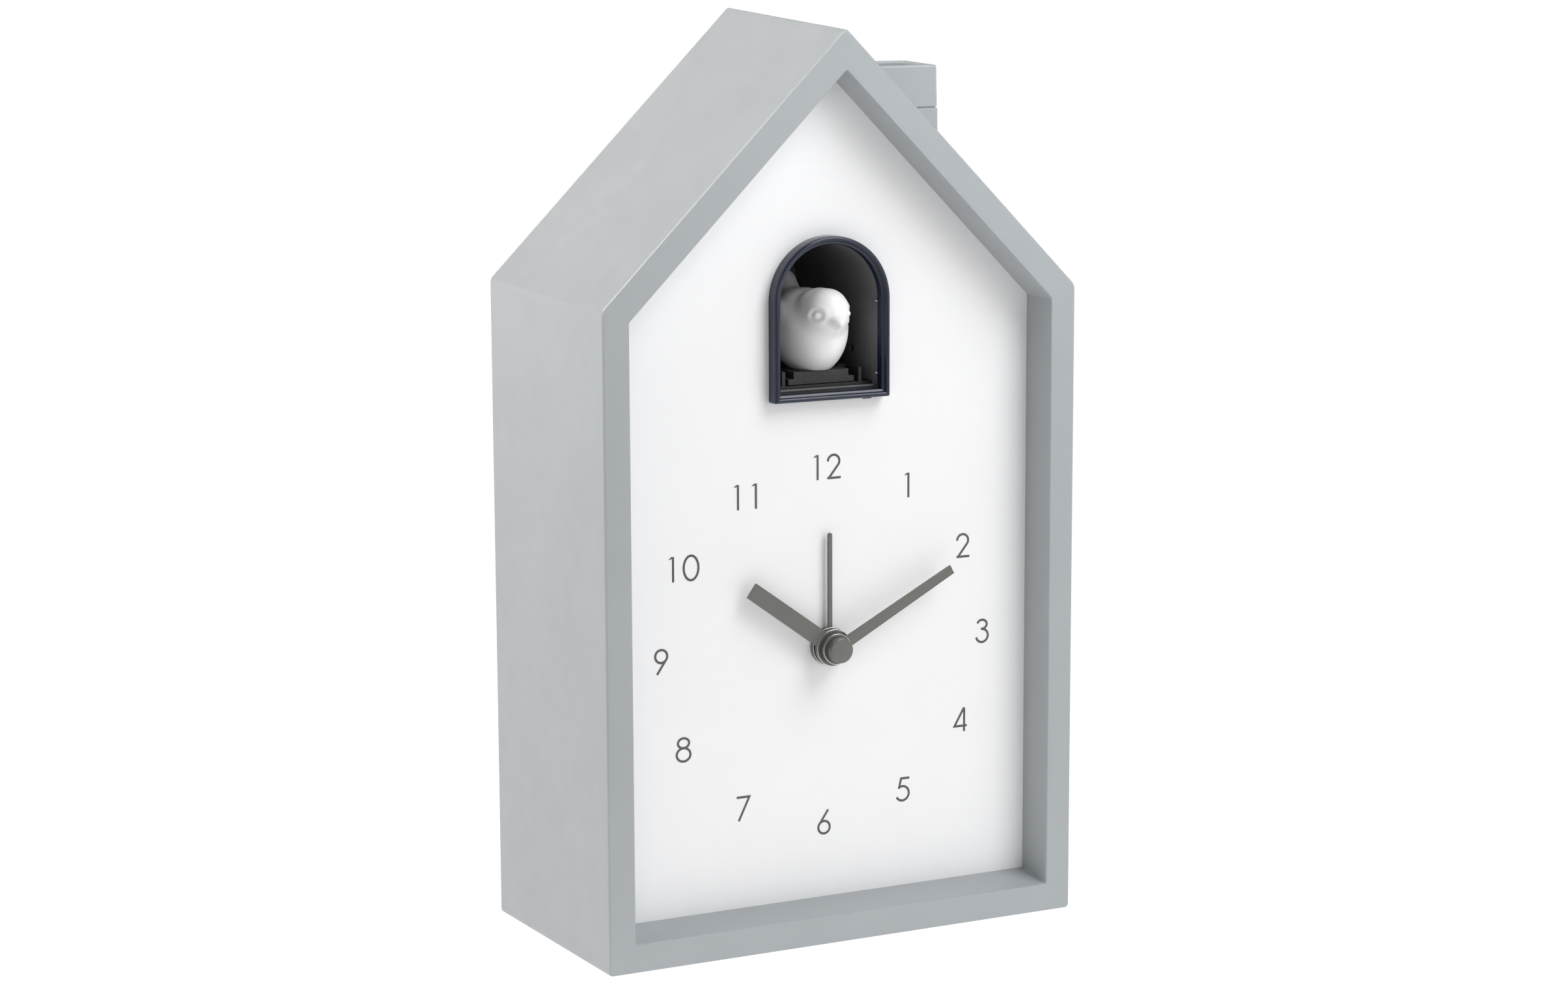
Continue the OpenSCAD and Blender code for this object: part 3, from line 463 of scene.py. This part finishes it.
def case_skin():
    """The shell with its rim, recess, side walls, floor and roof, and a well under the chimney."""
    flat = (0, 0, 0)
    wall = (WALL,) * 3
    foot = tuple(r + l for r, l in zip(RIM, LEAN))
    outline = [
        ((DIAL_Y, *wall, 0.2), 0),
        ((REAR_Y, *wall, 0.3), 0.35),
        ((REAR_Y, *flat, 0.8), 0.7),
        ((FRONT_Y, *flat, 0.9), 0.75),
        ((FRONT_Y, *RIM, 0.35), 0.55),
        ((DIAL_Y, *foot, 0.25), 0),
    ]
    shell = loft("case_skin", [house(*p) for p in rounded(outline)], loop=True)
    x = chimney_axis()
    well = loft("well", [rounded_square(WELL, 0.6, x, z) for z in (144, 175)])
    return carve(shell, well)


def chimney_base():
    """The lower half of the chimney, flush with the inside of the roof."""
    x = chimney_axis()
    half = (CHIMNEY_W + 0.1) / 2
    lip = half - 0.4
    path = [((WELL, 0.6, 150), 0), ((half + 0.15, 1.2, 150), 0), ((half, 1.2, CHIMNEY_JOINT), 0.2),
        ((lip, 0.9, CHIMNEY_JOINT), 0.04), ((lip, 0.9, CHIMNEY_JOINT + 0.35), 0.05),
        ((WELL, 0.6, CHIMNEY_JOINT + 0.35), 0.1)]
    stack = loft("chimney_base", [rounded_square(h, c, x, z) for h, c, z in rounded(path)], loop=True)
    room = loft("room", [house(y, WALL - 0.1, WALL - 0.1, WALL, 0.3) for y in (DIAL_Y, REAR_Y)])
    return carve(stack, room)


def case_bosses():
    """Tubes for the cover screws, and the two posts that carry the snooze board."""
    bosses = []
    for k, (x, z) in enumerate(COVER_SCREWS):
        section = [(0.01, BORE_END_Y), (SCREW_BORE, BORE_END_Y), (SCREW_BORE, COVER_IN),
            (BOSS_OUTER, COVER_IN), (BOSS_OUTER, BOSS_FRONT_Y), (0.01, BOSS_FRONT_Y)]
        bosses.append(lathe("boss_%d" % k, section, x, z, 32))
    for k, x in enumerate(BOARD_POSTS):
        ring = [(x + POST_R * cos(a), POST_R * sin(a)) for a in np.linspace(0, 2 * pi, 25)[:-1]]
        top = [(u, v, roof_under(u, v, WALL / 2)) for u, v in ring]
        bosses.append(loft("post_%d" % k, [[(u, v, BOARD_TOP) for u, v in ring], top]))
    return bosses


def make_case():
    """The front shell of the clock with the base of its chimney and its inner bosses."""
    case = joined("case_shell", case_skin(), chimney_base(), *case_bosses())
    return dress(case, "clock", "case_grey", "case", smooth=40)


def make_chimney_button():
    """The upper half of the chimney, which is the snooze button, with its neck and stem."""
    x = chimney_axis()
    z0 = CHIMNEY_JOINT + 0.27
    top = BUTTON_HI.z - RIM_RISE
    half = CHIMNEY_W / 2 - 0.05
    inner = 5.25
    path = [
        ((2.5, 2.5, BUTTON_LO.z, 0), 0),
        ((2.5, 2.5, 158.5, 0), 0),
        ((5.65, 0.8, 158.5, 0), 0.2),
        ((5.65, 0.8, z0 + 0.36, 0), 0),
        ((half - 0.28, 0.9, z0 + 0.36, 0), 0.03),
        ((half - 0.28, 0.9, z0, 0), 0.03),
        ((half, 1.1, z0, 0), 0.15),
        ((half - 0.12, 1.1, top, RIM_RISE), 0.45),
        ((inner, 0.7, top, RIM_RISE), 0.45),
        ((inner - 0.15, 0.7, 167.2, 0), 0.2),
        ((4.15, 0.5, 167.2, 0), 0.2),
        ((4.15, 0.5, 160, 0), 0),
    ]
    rings = [rounded_square(h, c, x, z, r, CHIMNEY_W) for h, c, z, r in rounded(path, closed=False)]
    button = loft("chimney_snooze_button", rings)
    return dress(button, "snooze_button", "case_grey", "chimney_button", smooth=40)


# ---------------------------------------------------------------- dial

CAP_H = 5.1
STROKE = 0.48
RING_R = 36.35
# The print is a little off the hand axis, and turned clockwise a little
RING_X = -0.36
RING_Z = HUB_Z - 0.11
RING_TURN = radians(0.64)
BASE = STROKE / 2
TOP = CAP_H - BASE


def arc(x, z, rx, rz, start, stop, steps=28):
    """Points of an elliptical arc, with angles in degrees counted from +X towards +Z."""
    return [(x + rx * cos(radians(a)), z + rz * sin(radians(a)))
        for a in np.linspace(start, stop, steps + 1)]


# Each glyph is its width and its strokes; the flag of the 1 is a filled shape
GLYPHS = {
    "0": (3.6, [arc(1.8, 2.55, 1.6, 2.45, 0, 360)], []),
    "1": (1.2, [[(1, 0), (1, CAP_H - 0.05)]],
        [[(0, 4.5), (0.6, CAP_H - 0.05), (1, CAP_H - 0.05), (0.85, 4.68)]]),
    "2": (3.15, [arc(1.5, 3.6, 1.29, TOP - 3.6, 180, -40) + [(0.42, BASE)],
        [(0.08, BASE), (3.1, BASE)]], []),
    "3": (3.1, [arc(1.5, 3.92, 1.12, TOP - 3.92, 165, -90) + [(1.25, 2.95)],
        [(1.25, 2.95)] + arc(1.5, 1.57, 1.38, 1.37, 90, -168)], []),
    "4": (3.2, [[(2.5, 0), (2.5, 5.0)], [(2.45, 5.0), (0.2, 1.2), (3.15, 1.2)]], []),
    "5": (3.1, [[(3.05, TOP), (1.1, TOP), (0.62, 2.75)],
        arc(1.42, 1.72, 1.5, 1.5, 128, -152)], []),
    "6": (3.0, [[(2.44, CAP_H), (0.43, 2.21)], arc(1.5, 1.5, 1.3, 1.3, 0, 360)], []),
    "7": (3.05, [[(0, TOP), (2.82, TOP), (0.42, 0)]], []),
    "8": (3.4, [arc(1.7, 3.9, 1.22, 1.0, -90, 270), arc(1.7, 1.55, 1.5, 1.35, 90, 450)], []),
    "9": (3.0, [[(0.56, 0), (2.57, 2.89)], arc(1.5, 3.6, 1.3, 1.3, 0, 360)], []),
}


def ribbon(path, width):
    """Left and right edges of a stroke along path, with mitred joints."""
    pts = [np.array(p, float) for p in path]
    left, right = [], []
    for i, p in enumerate(pts):
        a = pts[i] - pts[i - 1] if i else pts[1] - pts[0]
        b = pts[i + 1] - pts[i] if i < len(pts) - 1 else a
        a, b = a / np.linalg.norm(a), b / np.linalg.norm(b)
        normal = np.array([-(a + b)[1], (a + b)[0]])
        normal /= np.linalg.norm(normal)
        share = max(0.35, float(np.dot(normal, [-a[1], a[0]])))
        offset = normal * width / 2 / share
        left.append(p + offset)
        right.append(p - offset)
    return left, right


def flat_shapes(shapes, front, y1):
    """Prisms between front and y1 over strips of quads; each shape is (left edge, right edge).
    Each stands a hair in front of the one before, so no two faces lie in one plane."""
    points, faces = [], []
    for k, (left, right) in enumerate(shapes):
        y0 = front - 0.002 * k
        start = len(points)
        for l, r in zip(left, right):
            points += [(l[0], y0, l[1]), (r[0], y0, r[1]), (r[0], y1, r[1]), (l[0], y1, l[1])]
        for i in range(len(left) - 1):
            a, b = start + 4 * i, start + 4 * i + 4
            faces += [(a + k, a + (k + 1) % 4, b + (k + 1) % 4, b + k) for k in range(4)]
        faces.append((start, start + 1, start + 2, start + 3))
        end = start + 4 * (len(left) - 1)
        faces.append((end, end + 1, end + 2, end + 3))
    return points, faces


def numeral_shapes(text, x, z):
    """The strokes of a number whose middle is at (x, z)."""
    kerning, after_one, between_ones = 1.15, 1.9, 2.75
    widths = [GLYPHS[c][0] for c in text]
    gaps = [(after_one if n != "1" else between_ones) if c == "1" else kerning
        for c, n in zip(text, text[1:])]
    cursor = x - (sum(widths) + sum(gaps)) / 2
    shapes = []
    for c, gap in zip(text, gaps + [0]):
        width, strokes, fills = GLYPHS[c]
        for stroke in strokes:
            left, right = ribbon(stroke, STROKE)
            shapes.append(([(cursor + p[0], z - CAP_H / 2 + p[1]) for p in left],
                [(cursor + p[0], z - CAP_H / 2 + p[1]) for p in right]))
        for fill in fills:
            at = [(cursor + p[0], z - CAP_H / 2 + p[1]) for p in fill]
            shapes.append(([at[0], at[1], at[2]], [at[0], at[3], at[3]]))
        cursor += width + gap
    return shapes


def make_numerals():
    """The twelve hour numbers, printed on the dial."""
    thickness = 0.03
    for hour in range(1, 13):
        angle = radians(90 - 30 * hour) - RING_TURN
        x = RING_X + RING_R * cos(angle)
        shapes = numeral_shapes(str(hour), x, RING_Z + RING_R * sin(angle))
        points, faces = flat_shapes(shapes, DIAL_Y - thickness, DIAL_Y - 0.002)
        number = solid("hour_number_%d" % hour, points, faces)
        dress(number, "clock", "dial_white", material=INK, weighted=False)


# ---------------------------------------------------------------- door


def arch_outline(d, h, corner, steps=40):
    """The door outline, d outside its opening and h in front of the dial."""
    r = DOOR_R + d
    foot = SILL_Z - d
    arch = [((r * cos(a), ARCH_Z + r * sin(a)), 0) for a in np.linspace(0, pi, steps + 1)]
    return [(x, DIAL_Y - h, z) for x, z in rounded([((-r, foot), corner), ((r, foot), corner)] + arch)]


def make_door_frame():
    """The glossy frame: an outer bead, a groove, an inner ledge and a sleeve through the dial."""
    w, h = FRAME_W, FRAME_H
    section = [
        ((0, 0.3, 0.1), 0),
        ((0, h - 0.95, 0.1), 0.22),
        ((0.52, h - 0.72, 0.12), 0.1),
        ((0.62, h - 0.18, 0.15), 0.16),
        ((0.98, h, 0.2), 0.25),
        ((w - 0.12, h - 0.12, 0.35), 0.4),
        ((w, h - 0.9, 0.4), 0.4),
        ((w, 0, 0.4), 0),
        ((0.44, 0, 0.1), 0),
        ((0.44, 0.3, 0.1), 0),
    ]
    rings = [arch_outline(*p) for p in rounded(section)]
    door = loft("door_frame_moulded", rings, loop=True)
    dress(door, "clock", "navy_gloss", "door_frame", smooth=50)
    sleeve = [(0.02, 0.3, 0.1), (0.02, -2.05, 0.1), (0.44, -2.05, 0.1), (0.44, 0.3, 0.1)]
    lining = loft("tunnel_lining", [arch_outline(*p) for p in sleeve], loop=True)
    dress(lining, "clock", "tunnel_black", smooth=50)


def tube_bar(name, start, stop, r, sides=12):
    """A round-ended bar along X from the point start to x = stop."""
    (x0, y, z), x1 = start, stop
    ends = [(x0, 0.01), (x0 + r * 0.3, r * 0.7), (x0 + r, r),
        (x1 - r, r), (x1 - r * 0.3, r * 0.7), (x1, 0.01)]
    rings = [[(x, y + q * cos(2 * pi * k / sides), z + q * sin(2 * pi * k / sides))
        for k in range(sides)] for x, q in ends]
    return loft(name, rings)


SILL_R = 0.34
CLIP_R = 0.34
CLIP_HEIGHTS = (128.15, 113.65)
TAB_X = (7.9, 9.9)
TAB_DROP = 0.45


def make_door_sill():
    """The rolled front edge of the tunnel floor, two clips beside it and the tab of the frame."""
    z = SILL_Z + 0.45
    sill = tube_bar("tunnel_sill", (-DOOR_R + 0.05, DIAL_Y + 0.35, z), DOOR_R - 0.05, SILL_R)
    dress(sill, "clock", "knob_grey", smooth=60)
    for k, z in enumerate(CLIP_HEIGHTS):
        start, stop = (DOOR_R - 0.4, DIAL_Y - 0.1, z), DOOR_R + 0.2
        clip = tube_bar("tunnel_clip_%d" % (k + 1), start, stop, CLIP_R)
        dress(clip, "clock", "steel", smooth=60)
    (left, right), foot = TAB_X, SILL_Z - FRAME_W
    outline = rounded([((left, foot - TAB_DROP), 0.15), ((right, foot - TAB_DROP), 0.15),
        ((right, foot + 0.1), 0), ((left, foot + 0.1), 0)])
    tab = loft("frame_tab", [[(p[0], y, p[1]) for p in outline] for y in (DIAL_Y - 0.35, DIAL_Y - 0.01)])
    dress(tab, "clock", "navy_gloss", smooth=40)


# ---------------------------------------------------------------- bird

def ellipsoid(p, at, size):
    """Approximate distance of points p from an ellipsoid."""
    q = (p - np.array(at)) / np.array(size)
    k0 = np.linalg.norm(q, axis=1)
    k1 = np.linalg.norm(q / np.array(size), axis=1)
    return k0 * (k0 - 1) / np.maximum(k1, 1e-9)


def blend_in(a, b, k):
    """Smooth union of two distances over a width of k."""
    h = np.clip(0.5 + 0.5 * (b - a) / k, 0, 1)
    return b * (1 - h) + a * h - k * h * (1 - h)


def egg(p, at, size, top):
    """An ellipsoid whose upper half is top high instead of size[2]."""
    q = p - np.array(at)
    q[:, 2] *= np.where(q[:, 2] > 0, size[2] / top, 1)
    return ellipsoid(q, (0, 0, 0), size)


def plain_bird(p):
    """Distance of points p from the bird without its eyes, in millimetres."""
    y0, z0 = DIAL_Y, BIRD_FOOT
    body = egg(p, (0, y0 + 6.9, z0 + 8.3), (7.0, 9.2, 9.7), 6.0)
    hump = ellipsoid(p, (0, y0 + 9.6, z0 + 9.8), (6.4, 7.8, 6.1))
    belly = ellipsoid(p, (0, y0 + 9.5, z0 + 6.5), (6.5, 8.4, 7.4))
    body = blend_in(blend_in(body, hump, 1.5), belly, 1.0)
    head = ellipsoid(p, (0, y0 + 2.4, z0 + 11.15), (5.0, 7.2, 5.3))
    brow = ellipsoid(p, (0, y0 - 0.5, z0 + 12.3), (4.15, 4.1, 4.2))
    shape = blend_in(body, blend_in(head, brow, 0.8), 1.0)
    for side in (-1, 1):
        wing = ellipsoid(p, (side * 5.2, y0 + 10.8, z0 + 8.4), (2.4, 6.4, 5.0))
        shape = blend_in(shape, wing, 0.6)
    tail = ellipsoid(p, (0, y0 + 19.2, z0 + 15.6), (2.6, 4.2, 3.4))
    root = ellipsoid(p, (0, y0 + 15.0, z0 + 12.2), (3.2, 4.5, 3.6))
    shape = blend_in(shape, blend_in(root, tail, 1.5), 1.2)
    bill = ellipsoid(p, (0, y0 - 4.75, z0 + 10.5), (1.45, 1.5, 1.0))
    tip = ellipsoid(p, (0, y0 - 5.75, z0 + 9.95), (0.6, 0.8, 0.55))
    return blend_in(shape, blend_in(bill, tip, 0.8), 1.1)


def bird_distance(p):
    """Distance of points p from the bird's surface: raised lids, grooves and balls for eyes."""
    shape = plain_bird(p)
    for side, eye in EYES:
        out = np.array((side * 0.67, -0.74, 0.02))
        along = np.array((side * 0.74, 0.67, 0.14))
        q = p - eye
        reach = np.sqrt((q @ along / 1.75) ** 2 + (q[:, 2] / 1.4) ** 2)
        near = q @ out > -2
        groove = 0.26 * np.exp(-((reach - 0.62) / 0.24) ** 2) * near
        lid = 0.13 * np.exp(-((reach - 1.2) / 0.32) ** 2) * near
        ball = ellipsoid(p, tuple(eye - out * 0.5), (0.72, 0.56, 0.58))
        shape = blend_in(shape + groove - lid, ball, 0.2)
    return shape


def skin_radius(distance, centre, directions, reach=22.0):
    """How far a surface lies from centre along each direction, found from outside."""
    radius = np.full(len(directions), reach)
    for _ in range(70):
        step = distance(centre + directions * radius[:, None])
        radius = np.clip(radius - 0.55 * step, 0.5, reach)
    return radius


def find_eyes():
    """Where each eye sits on the head, as (side, point)."""
    centre = np.array((0, DIAL_Y + 2.4, BIRD_FOOT + 11.6))
    aims = np.array([(side * 0.58, -0.81, 0.0) for side in (-1, 1)])
    aims /= np.linalg.norm(aims, axis=1)[:, None]
    reach = skin_radius(plain_bird, centre, aims)
    return [(side, centre + aim * r) for side, aim, r in zip((-1, 1), aims, reach)]


EYES = find_eyes()


def sphere_grid(n):
    """Unit directions and quads of a cube sphere with n cells along each cube edge."""
    turns = [Matrix.Identity(3), Matrix.Rotation(pi / 2, 3, "Z"), Matrix.Rotation(pi, 3, "Z"),
        Matrix.Rotation(-pi / 2, 3, "Z"), Matrix.Rotation(pi / 2, 3, "Y"), Matrix.Rotation(-pi / 2, 3, "Y")]
    grid = np.tan(np.linspace(-pi / 4, pi / 4, n + 1))
    points, faces = [], []
    for turn in turns:
        start = len(points)
        for v in grid:
            for u in grid:
                points.append(turn @ Vector((1, u, v)).normalized())
        for j in range(n):
            for i in range(n):
                a = start + j * (n + 1) + i
                faces.append((a, a + 1, a + n + 2, a + n + 1))
    return np.array([tuple(p) for p in points]), faces


BIRD_CORE = np.array((0, DIAL_Y + 8.0, BIRD_FOOT + 8.2))
SEAM_R = 0.045
SEAM_DEPTH = 0.02


def make_bird():
    """The moulded bird on its sled, with eyes, beak, wings and a raised tail."""
    directions, faces = sphere_grid(72)
    skin = BIRD_CORE + directions * skin_radius(bird_distance, BIRD_CORE, directions)[:, None]
    skin[:, 2] = np.maximum(skin[:, 2], BIRD_FOOT + 0.02)
    bird = solid("bird_moulded", [tuple(p) for p in skin], faces)
    dress(bird, "bird_carriage", "bird_white", "bird", smooth=50, weighted=False)


def make_bird_seam():
    """The raised parting line that runs down the middle of the head and breast."""
    angles = np.radians(np.linspace(100, 238, 60))
    rim = np.stack([np.zeros_like(angles), np.cos(angles), np.sin(angles)], axis=1)
    reach = skin_radius(bird_distance, BIRD_CORE, rim) - SEAM_DEPTH
    line = BIRD_CORE + rim * reach[:, None]
    line = line[line[:, 2] > BIRD_FOOT + 0.2]
    across = np.array((1, 0, 0))
    turns = np.linspace(0, 2 * pi, 7)[:-1]
    rings = []
    for i, p in enumerate(line):
        along = line[min(i + 1, len(line) - 1)] - line[max(i - 1, 0)]
        along /= np.linalg.norm(along)
        out = np.cross(across, along)
        rings.append([tuple(p + SEAM_R * (cos(a) * across + sin(a) * out)) for a in turns])
    seam = loft("bird_seam", rings)
    dress(seam, "bird_carriage", "bird_white", smooth=70, weighted=False)


# ---------------------------------------------------------------- hands


BOSS_R = {"hour_hand": 3.72, "minute_hand": 3.1, "alarm_hand": 3.85}


def hub_ring(name, body, inner, outer, y, depth, material):
    """A thin rounded ring around the hand axis, from radius inner to outer and y to y + depth."""
    r = min(outer - inner, depth) * 0.45
    section = rounded([((inner, y), r), ((outer, y), r), ((outer, y + depth), r),
        ((inner, y + depth), r)], steps=2)
    ring = lathe(name, [tuple(p) for p in section], 0, HUB_Z)
    dress(ring, body, "hand_grey", material=material, smooth=60)


def make_hands():
    """The three hands with their bosses, and the cap on the minute arbor."""
    for name, body in (("hour_hand", "hour"), ("minute_hand", "minute"), ("alarm_hand", "alarm")):
        bevelled(name, body, "hand_grey", 0.09)
        front = box_mm(name)[0].y
        r = BOSS_R[name]
        # A ring of lighter metal on the boss's front edge paints its highlight.
        hub_ring(name + "_edge", body, r - 0.14, r + 0.03, front - 0.03, 0.12, EDGE_HIGHLIGHT)
    front = box_mm("alarm_hand")[0].y
    # Thin dark rings laid on the alarm boss paint the shade inside its grooves.
    shade = MATERIALS["movement_black"]
    hub_ring("alarm_boss_groove_shade", "alarm", 3.4, 3.72, front - 0.015, 0.06, shade)
    hub_ring("alarm_boss_bead", "alarm", 3.2, 3.42, front - 0.12, 0.2, MATERIALS["hand_grey"])
    hub_ring("alarm_boss_inner_groove_shade", "alarm", 2.6, 3.22, front - 0.015, 0.06, shade)
    y0, y1 = CAP_LO.y, CAP_HI.y
    r = CAP_HI.x
    profile = rounded([((0.001, y0), 0), ((r - 0.02, y0), 0.3), ((r, y0 + 1.5), 0.12),
        ((r - 0.55, y0 + 1.6), 0.1), ((r - 0.55, y1), 0), ((0.001, y1), 0)], closed=False)
    cap = lathe("hub_cap_turned", [tuple(p) for p in profile], 0, HUB_Z)
    dress(cap, "minute", "hand_grey", "hub_cap", smooth=40)


# ---------------------------------------------------------------- everything else

ROUNDED = {
    "bird_tunnel": ("clock", 0.12),
    "bird_sled": ("bird_carriage", 0.1),
    "rear_cover": ("clock", 0.25),
    "battery_door": ("battery_hatch", 0.2),
    "battery_box": ("clock", 0.2),
    "time_knob": ("time_setting", 0.3),
    "alarm_knob": ("alarm_setting", 0.3),
    "alarm_slider": ("alarm_switch_slider", 0.25),
    "cover_screws": ("clock", 0.12),
}


def darken_track(tunnel):
    """Paints shade on the floor, the rails and the front faces of the tunnel with a darker copy of its
    plastic.
    """
    tunnel.data.materials.append(TRACK_SHADE)
    for face in tunnel.data.polygons:
        centre = face.center / MM
        inside = centre.z < BIRD_FOOT + 1 and abs(centre.x) < DOOR_R - 0.1
        if inside or centre.y < TUNNEL_FRONT_Y + 0.05:
            face.material_index = 1


def make_rounded():
    """CAD pieces whose only difference from the real ones is their sharp edges."""
    slots = {part["node"]: part["material_slot"] for part in frame["record"]["subparts"]}
    for node, (body, width) in ROUNDED.items():
        piece = bevelled(node, body, slots[node], width)
        if node == "bird_tunnel":
            darken_track(piece)
    for node, obj in frame["nodes"].items():
        obj.data.materials.clear()
        obj.data.materials.append(MATERIALS[slots[node]])


# ---------------------------------------------------------------- stage


STUDIO_R = 8.0
STUDIO_WALL = 1.6
VIEW_YAW = radians(26.979)


def studio_paint():
    """White paint that glows, and that fades to a pale grey on the floor in front of the clock."""
    paint, tree, bsdf = shader("studio_white", (0.25, 0.25, 0.25), 0.7)
    bsdf.inputs["Emission Color"].default_value = (1, 1, 1, 1)
    coord = tree.nodes.new("ShaderNodeTexCoord")
    turn = tree.nodes.new("ShaderNodeVectorRotate")
    turn.rotation_type = "Z_AXIS"
    turn.inputs["Angle"].default_value = VIEW_YAW
    tree.links.new(coord.outputs["Object"], turn.inputs["Vector"])
    parts = tree.nodes.new("ShaderNodeSeparateXYZ")
    tree.links.new(turn.outputs["Vector"], parts.inputs["Vector"])
    fade = tree.nodes.new("ShaderNodeMapRange")
    fade.interpolation_type = "SMOOTHSTEP"
    for key, value in (("From Min", -0.24), ("From Max", -0.05), ("To Min", 0.5), ("To Max", 0.96)):
        fade.inputs[key].default_value = value
    tree.links.new(parts.outputs["Y"], fade.inputs["Value"])
    tree.links.new(fade.outputs["Result"], bsdf.inputs["Emission Strength"])
    return paint


def make_stage():
    """A pale floor that reaches a low white wall all round."""
    rim = [(STUDIO_R * cos(a), STUDIO_R * sin(a)) for a in np.linspace(0, 2 * pi, 65)[:-1]]
    count = len(rim)
    floor = [(x, y, 0) for x, y in rim]
    wall = floor + [(x, y, STUDIO_WALL) for x, y in rim]
    sides = [(k, (k + 1) % count, count + (k + 1) % count, count + k) for k in range(count)]
    paint = studio_paint()
    for name, points, faces in (("floor", floor, [tuple(range(count))]), ("backdrop", wall, sides)):
        mesh = bpy.data.meshes.new(name)
        mesh.from_pydata(points, [], faces)
        mesh.materials.append(paint)
        obj = bpy.data.objects.new(name, mesh)
        bpy.context.scene.collection.objects.link(obj)
        obj.location.z = -0.0001


def make_world():
    """A nearly dark sky, so that the studio and its lights do the lighting."""
    world = bpy.data.worlds.new("studio")
    bpy.context.scene.world = world
    world.use_nodes = True
    background = world.node_tree.nodes["Background"]
    background.inputs["Color"].default_value = (1, 1, 1, 1)
    background.inputs["Strength"].default_value = 0.02


def softbox(name, place, aim, size, power, color=(1, 1, 1)):
    """A square area light at place, turned to aim, in metres and watts."""
    light = bpy.data.lights.new(name, "AREA")
    light.size = size
    light.energy = power
    light.color = color
    obj = bpy.data.objects.new(name, light)
    bpy.context.scene.collection.objects.link(obj)
    obj.location = place
    obj.rotation_euler = (Vector(aim) - Vector(place)).to_track_quat("-Z", "Y").to_euler()


def make_lights():
    """A near key light high on the right, weaker ones in front and above, and a warm one on the left."""
    high = (0, 0, 0.15)
    softbox("key", (0.16, -0.26, 0.42), (0, 0, 0.17), 0.25, 1.22, (0.98, 0.99, 1))
    softbox("low", (0.25, -0.45, 0.22), high, 0.3, 0.45)
    softbox("fill", (-0.30, -0.50, 0.30), high, 0.3, 0.26)
    softbox("top", (0.10, -0.14, 0.62), high, 0.3, 0.42)
    softbox("side", (-0.26, 0.05, 0.37), high, 0.2, 1.42, (1, 0.96, 0.92))


def make_camera():
    """The viewpoint: where it stands, how it is turned, and its lens."""
    place = Vector((-310.83, -609.29, 199.90)) * MM
    yaw, pitch, roll = VIEW_YAW, radians(9.327), radians(0.2015)
    camera = bpy.data.cameras.new("camera")
    camera.sensor_width = 36
    camera.lens = 78.04
    camera.clip_start = 0.01
    obj = bpy.data.objects.new("camera", camera)
    bpy.context.scene.collection.objects.link(obj)
    turn = Matrix.Rotation(-yaw, 4, "Z") @ Matrix.Rotation(pi / 2 - pitch, 4, "X")
    obj.matrix_world = Matrix.Translation(place) @ turn @ Matrix.Rotation(-roll, 4, "Z")
    bpy.context.scene.camera = obj


make_case()
make_chimney_button()
make_numerals()
make_door_frame()
make_door_sill()
make_bird()
make_bird_seam()
make_hands()
make_rounded()
make_stage()
make_world()
make_lights()
make_camera()
bpy.context.scene.view_settings.view_transform = "Standard"
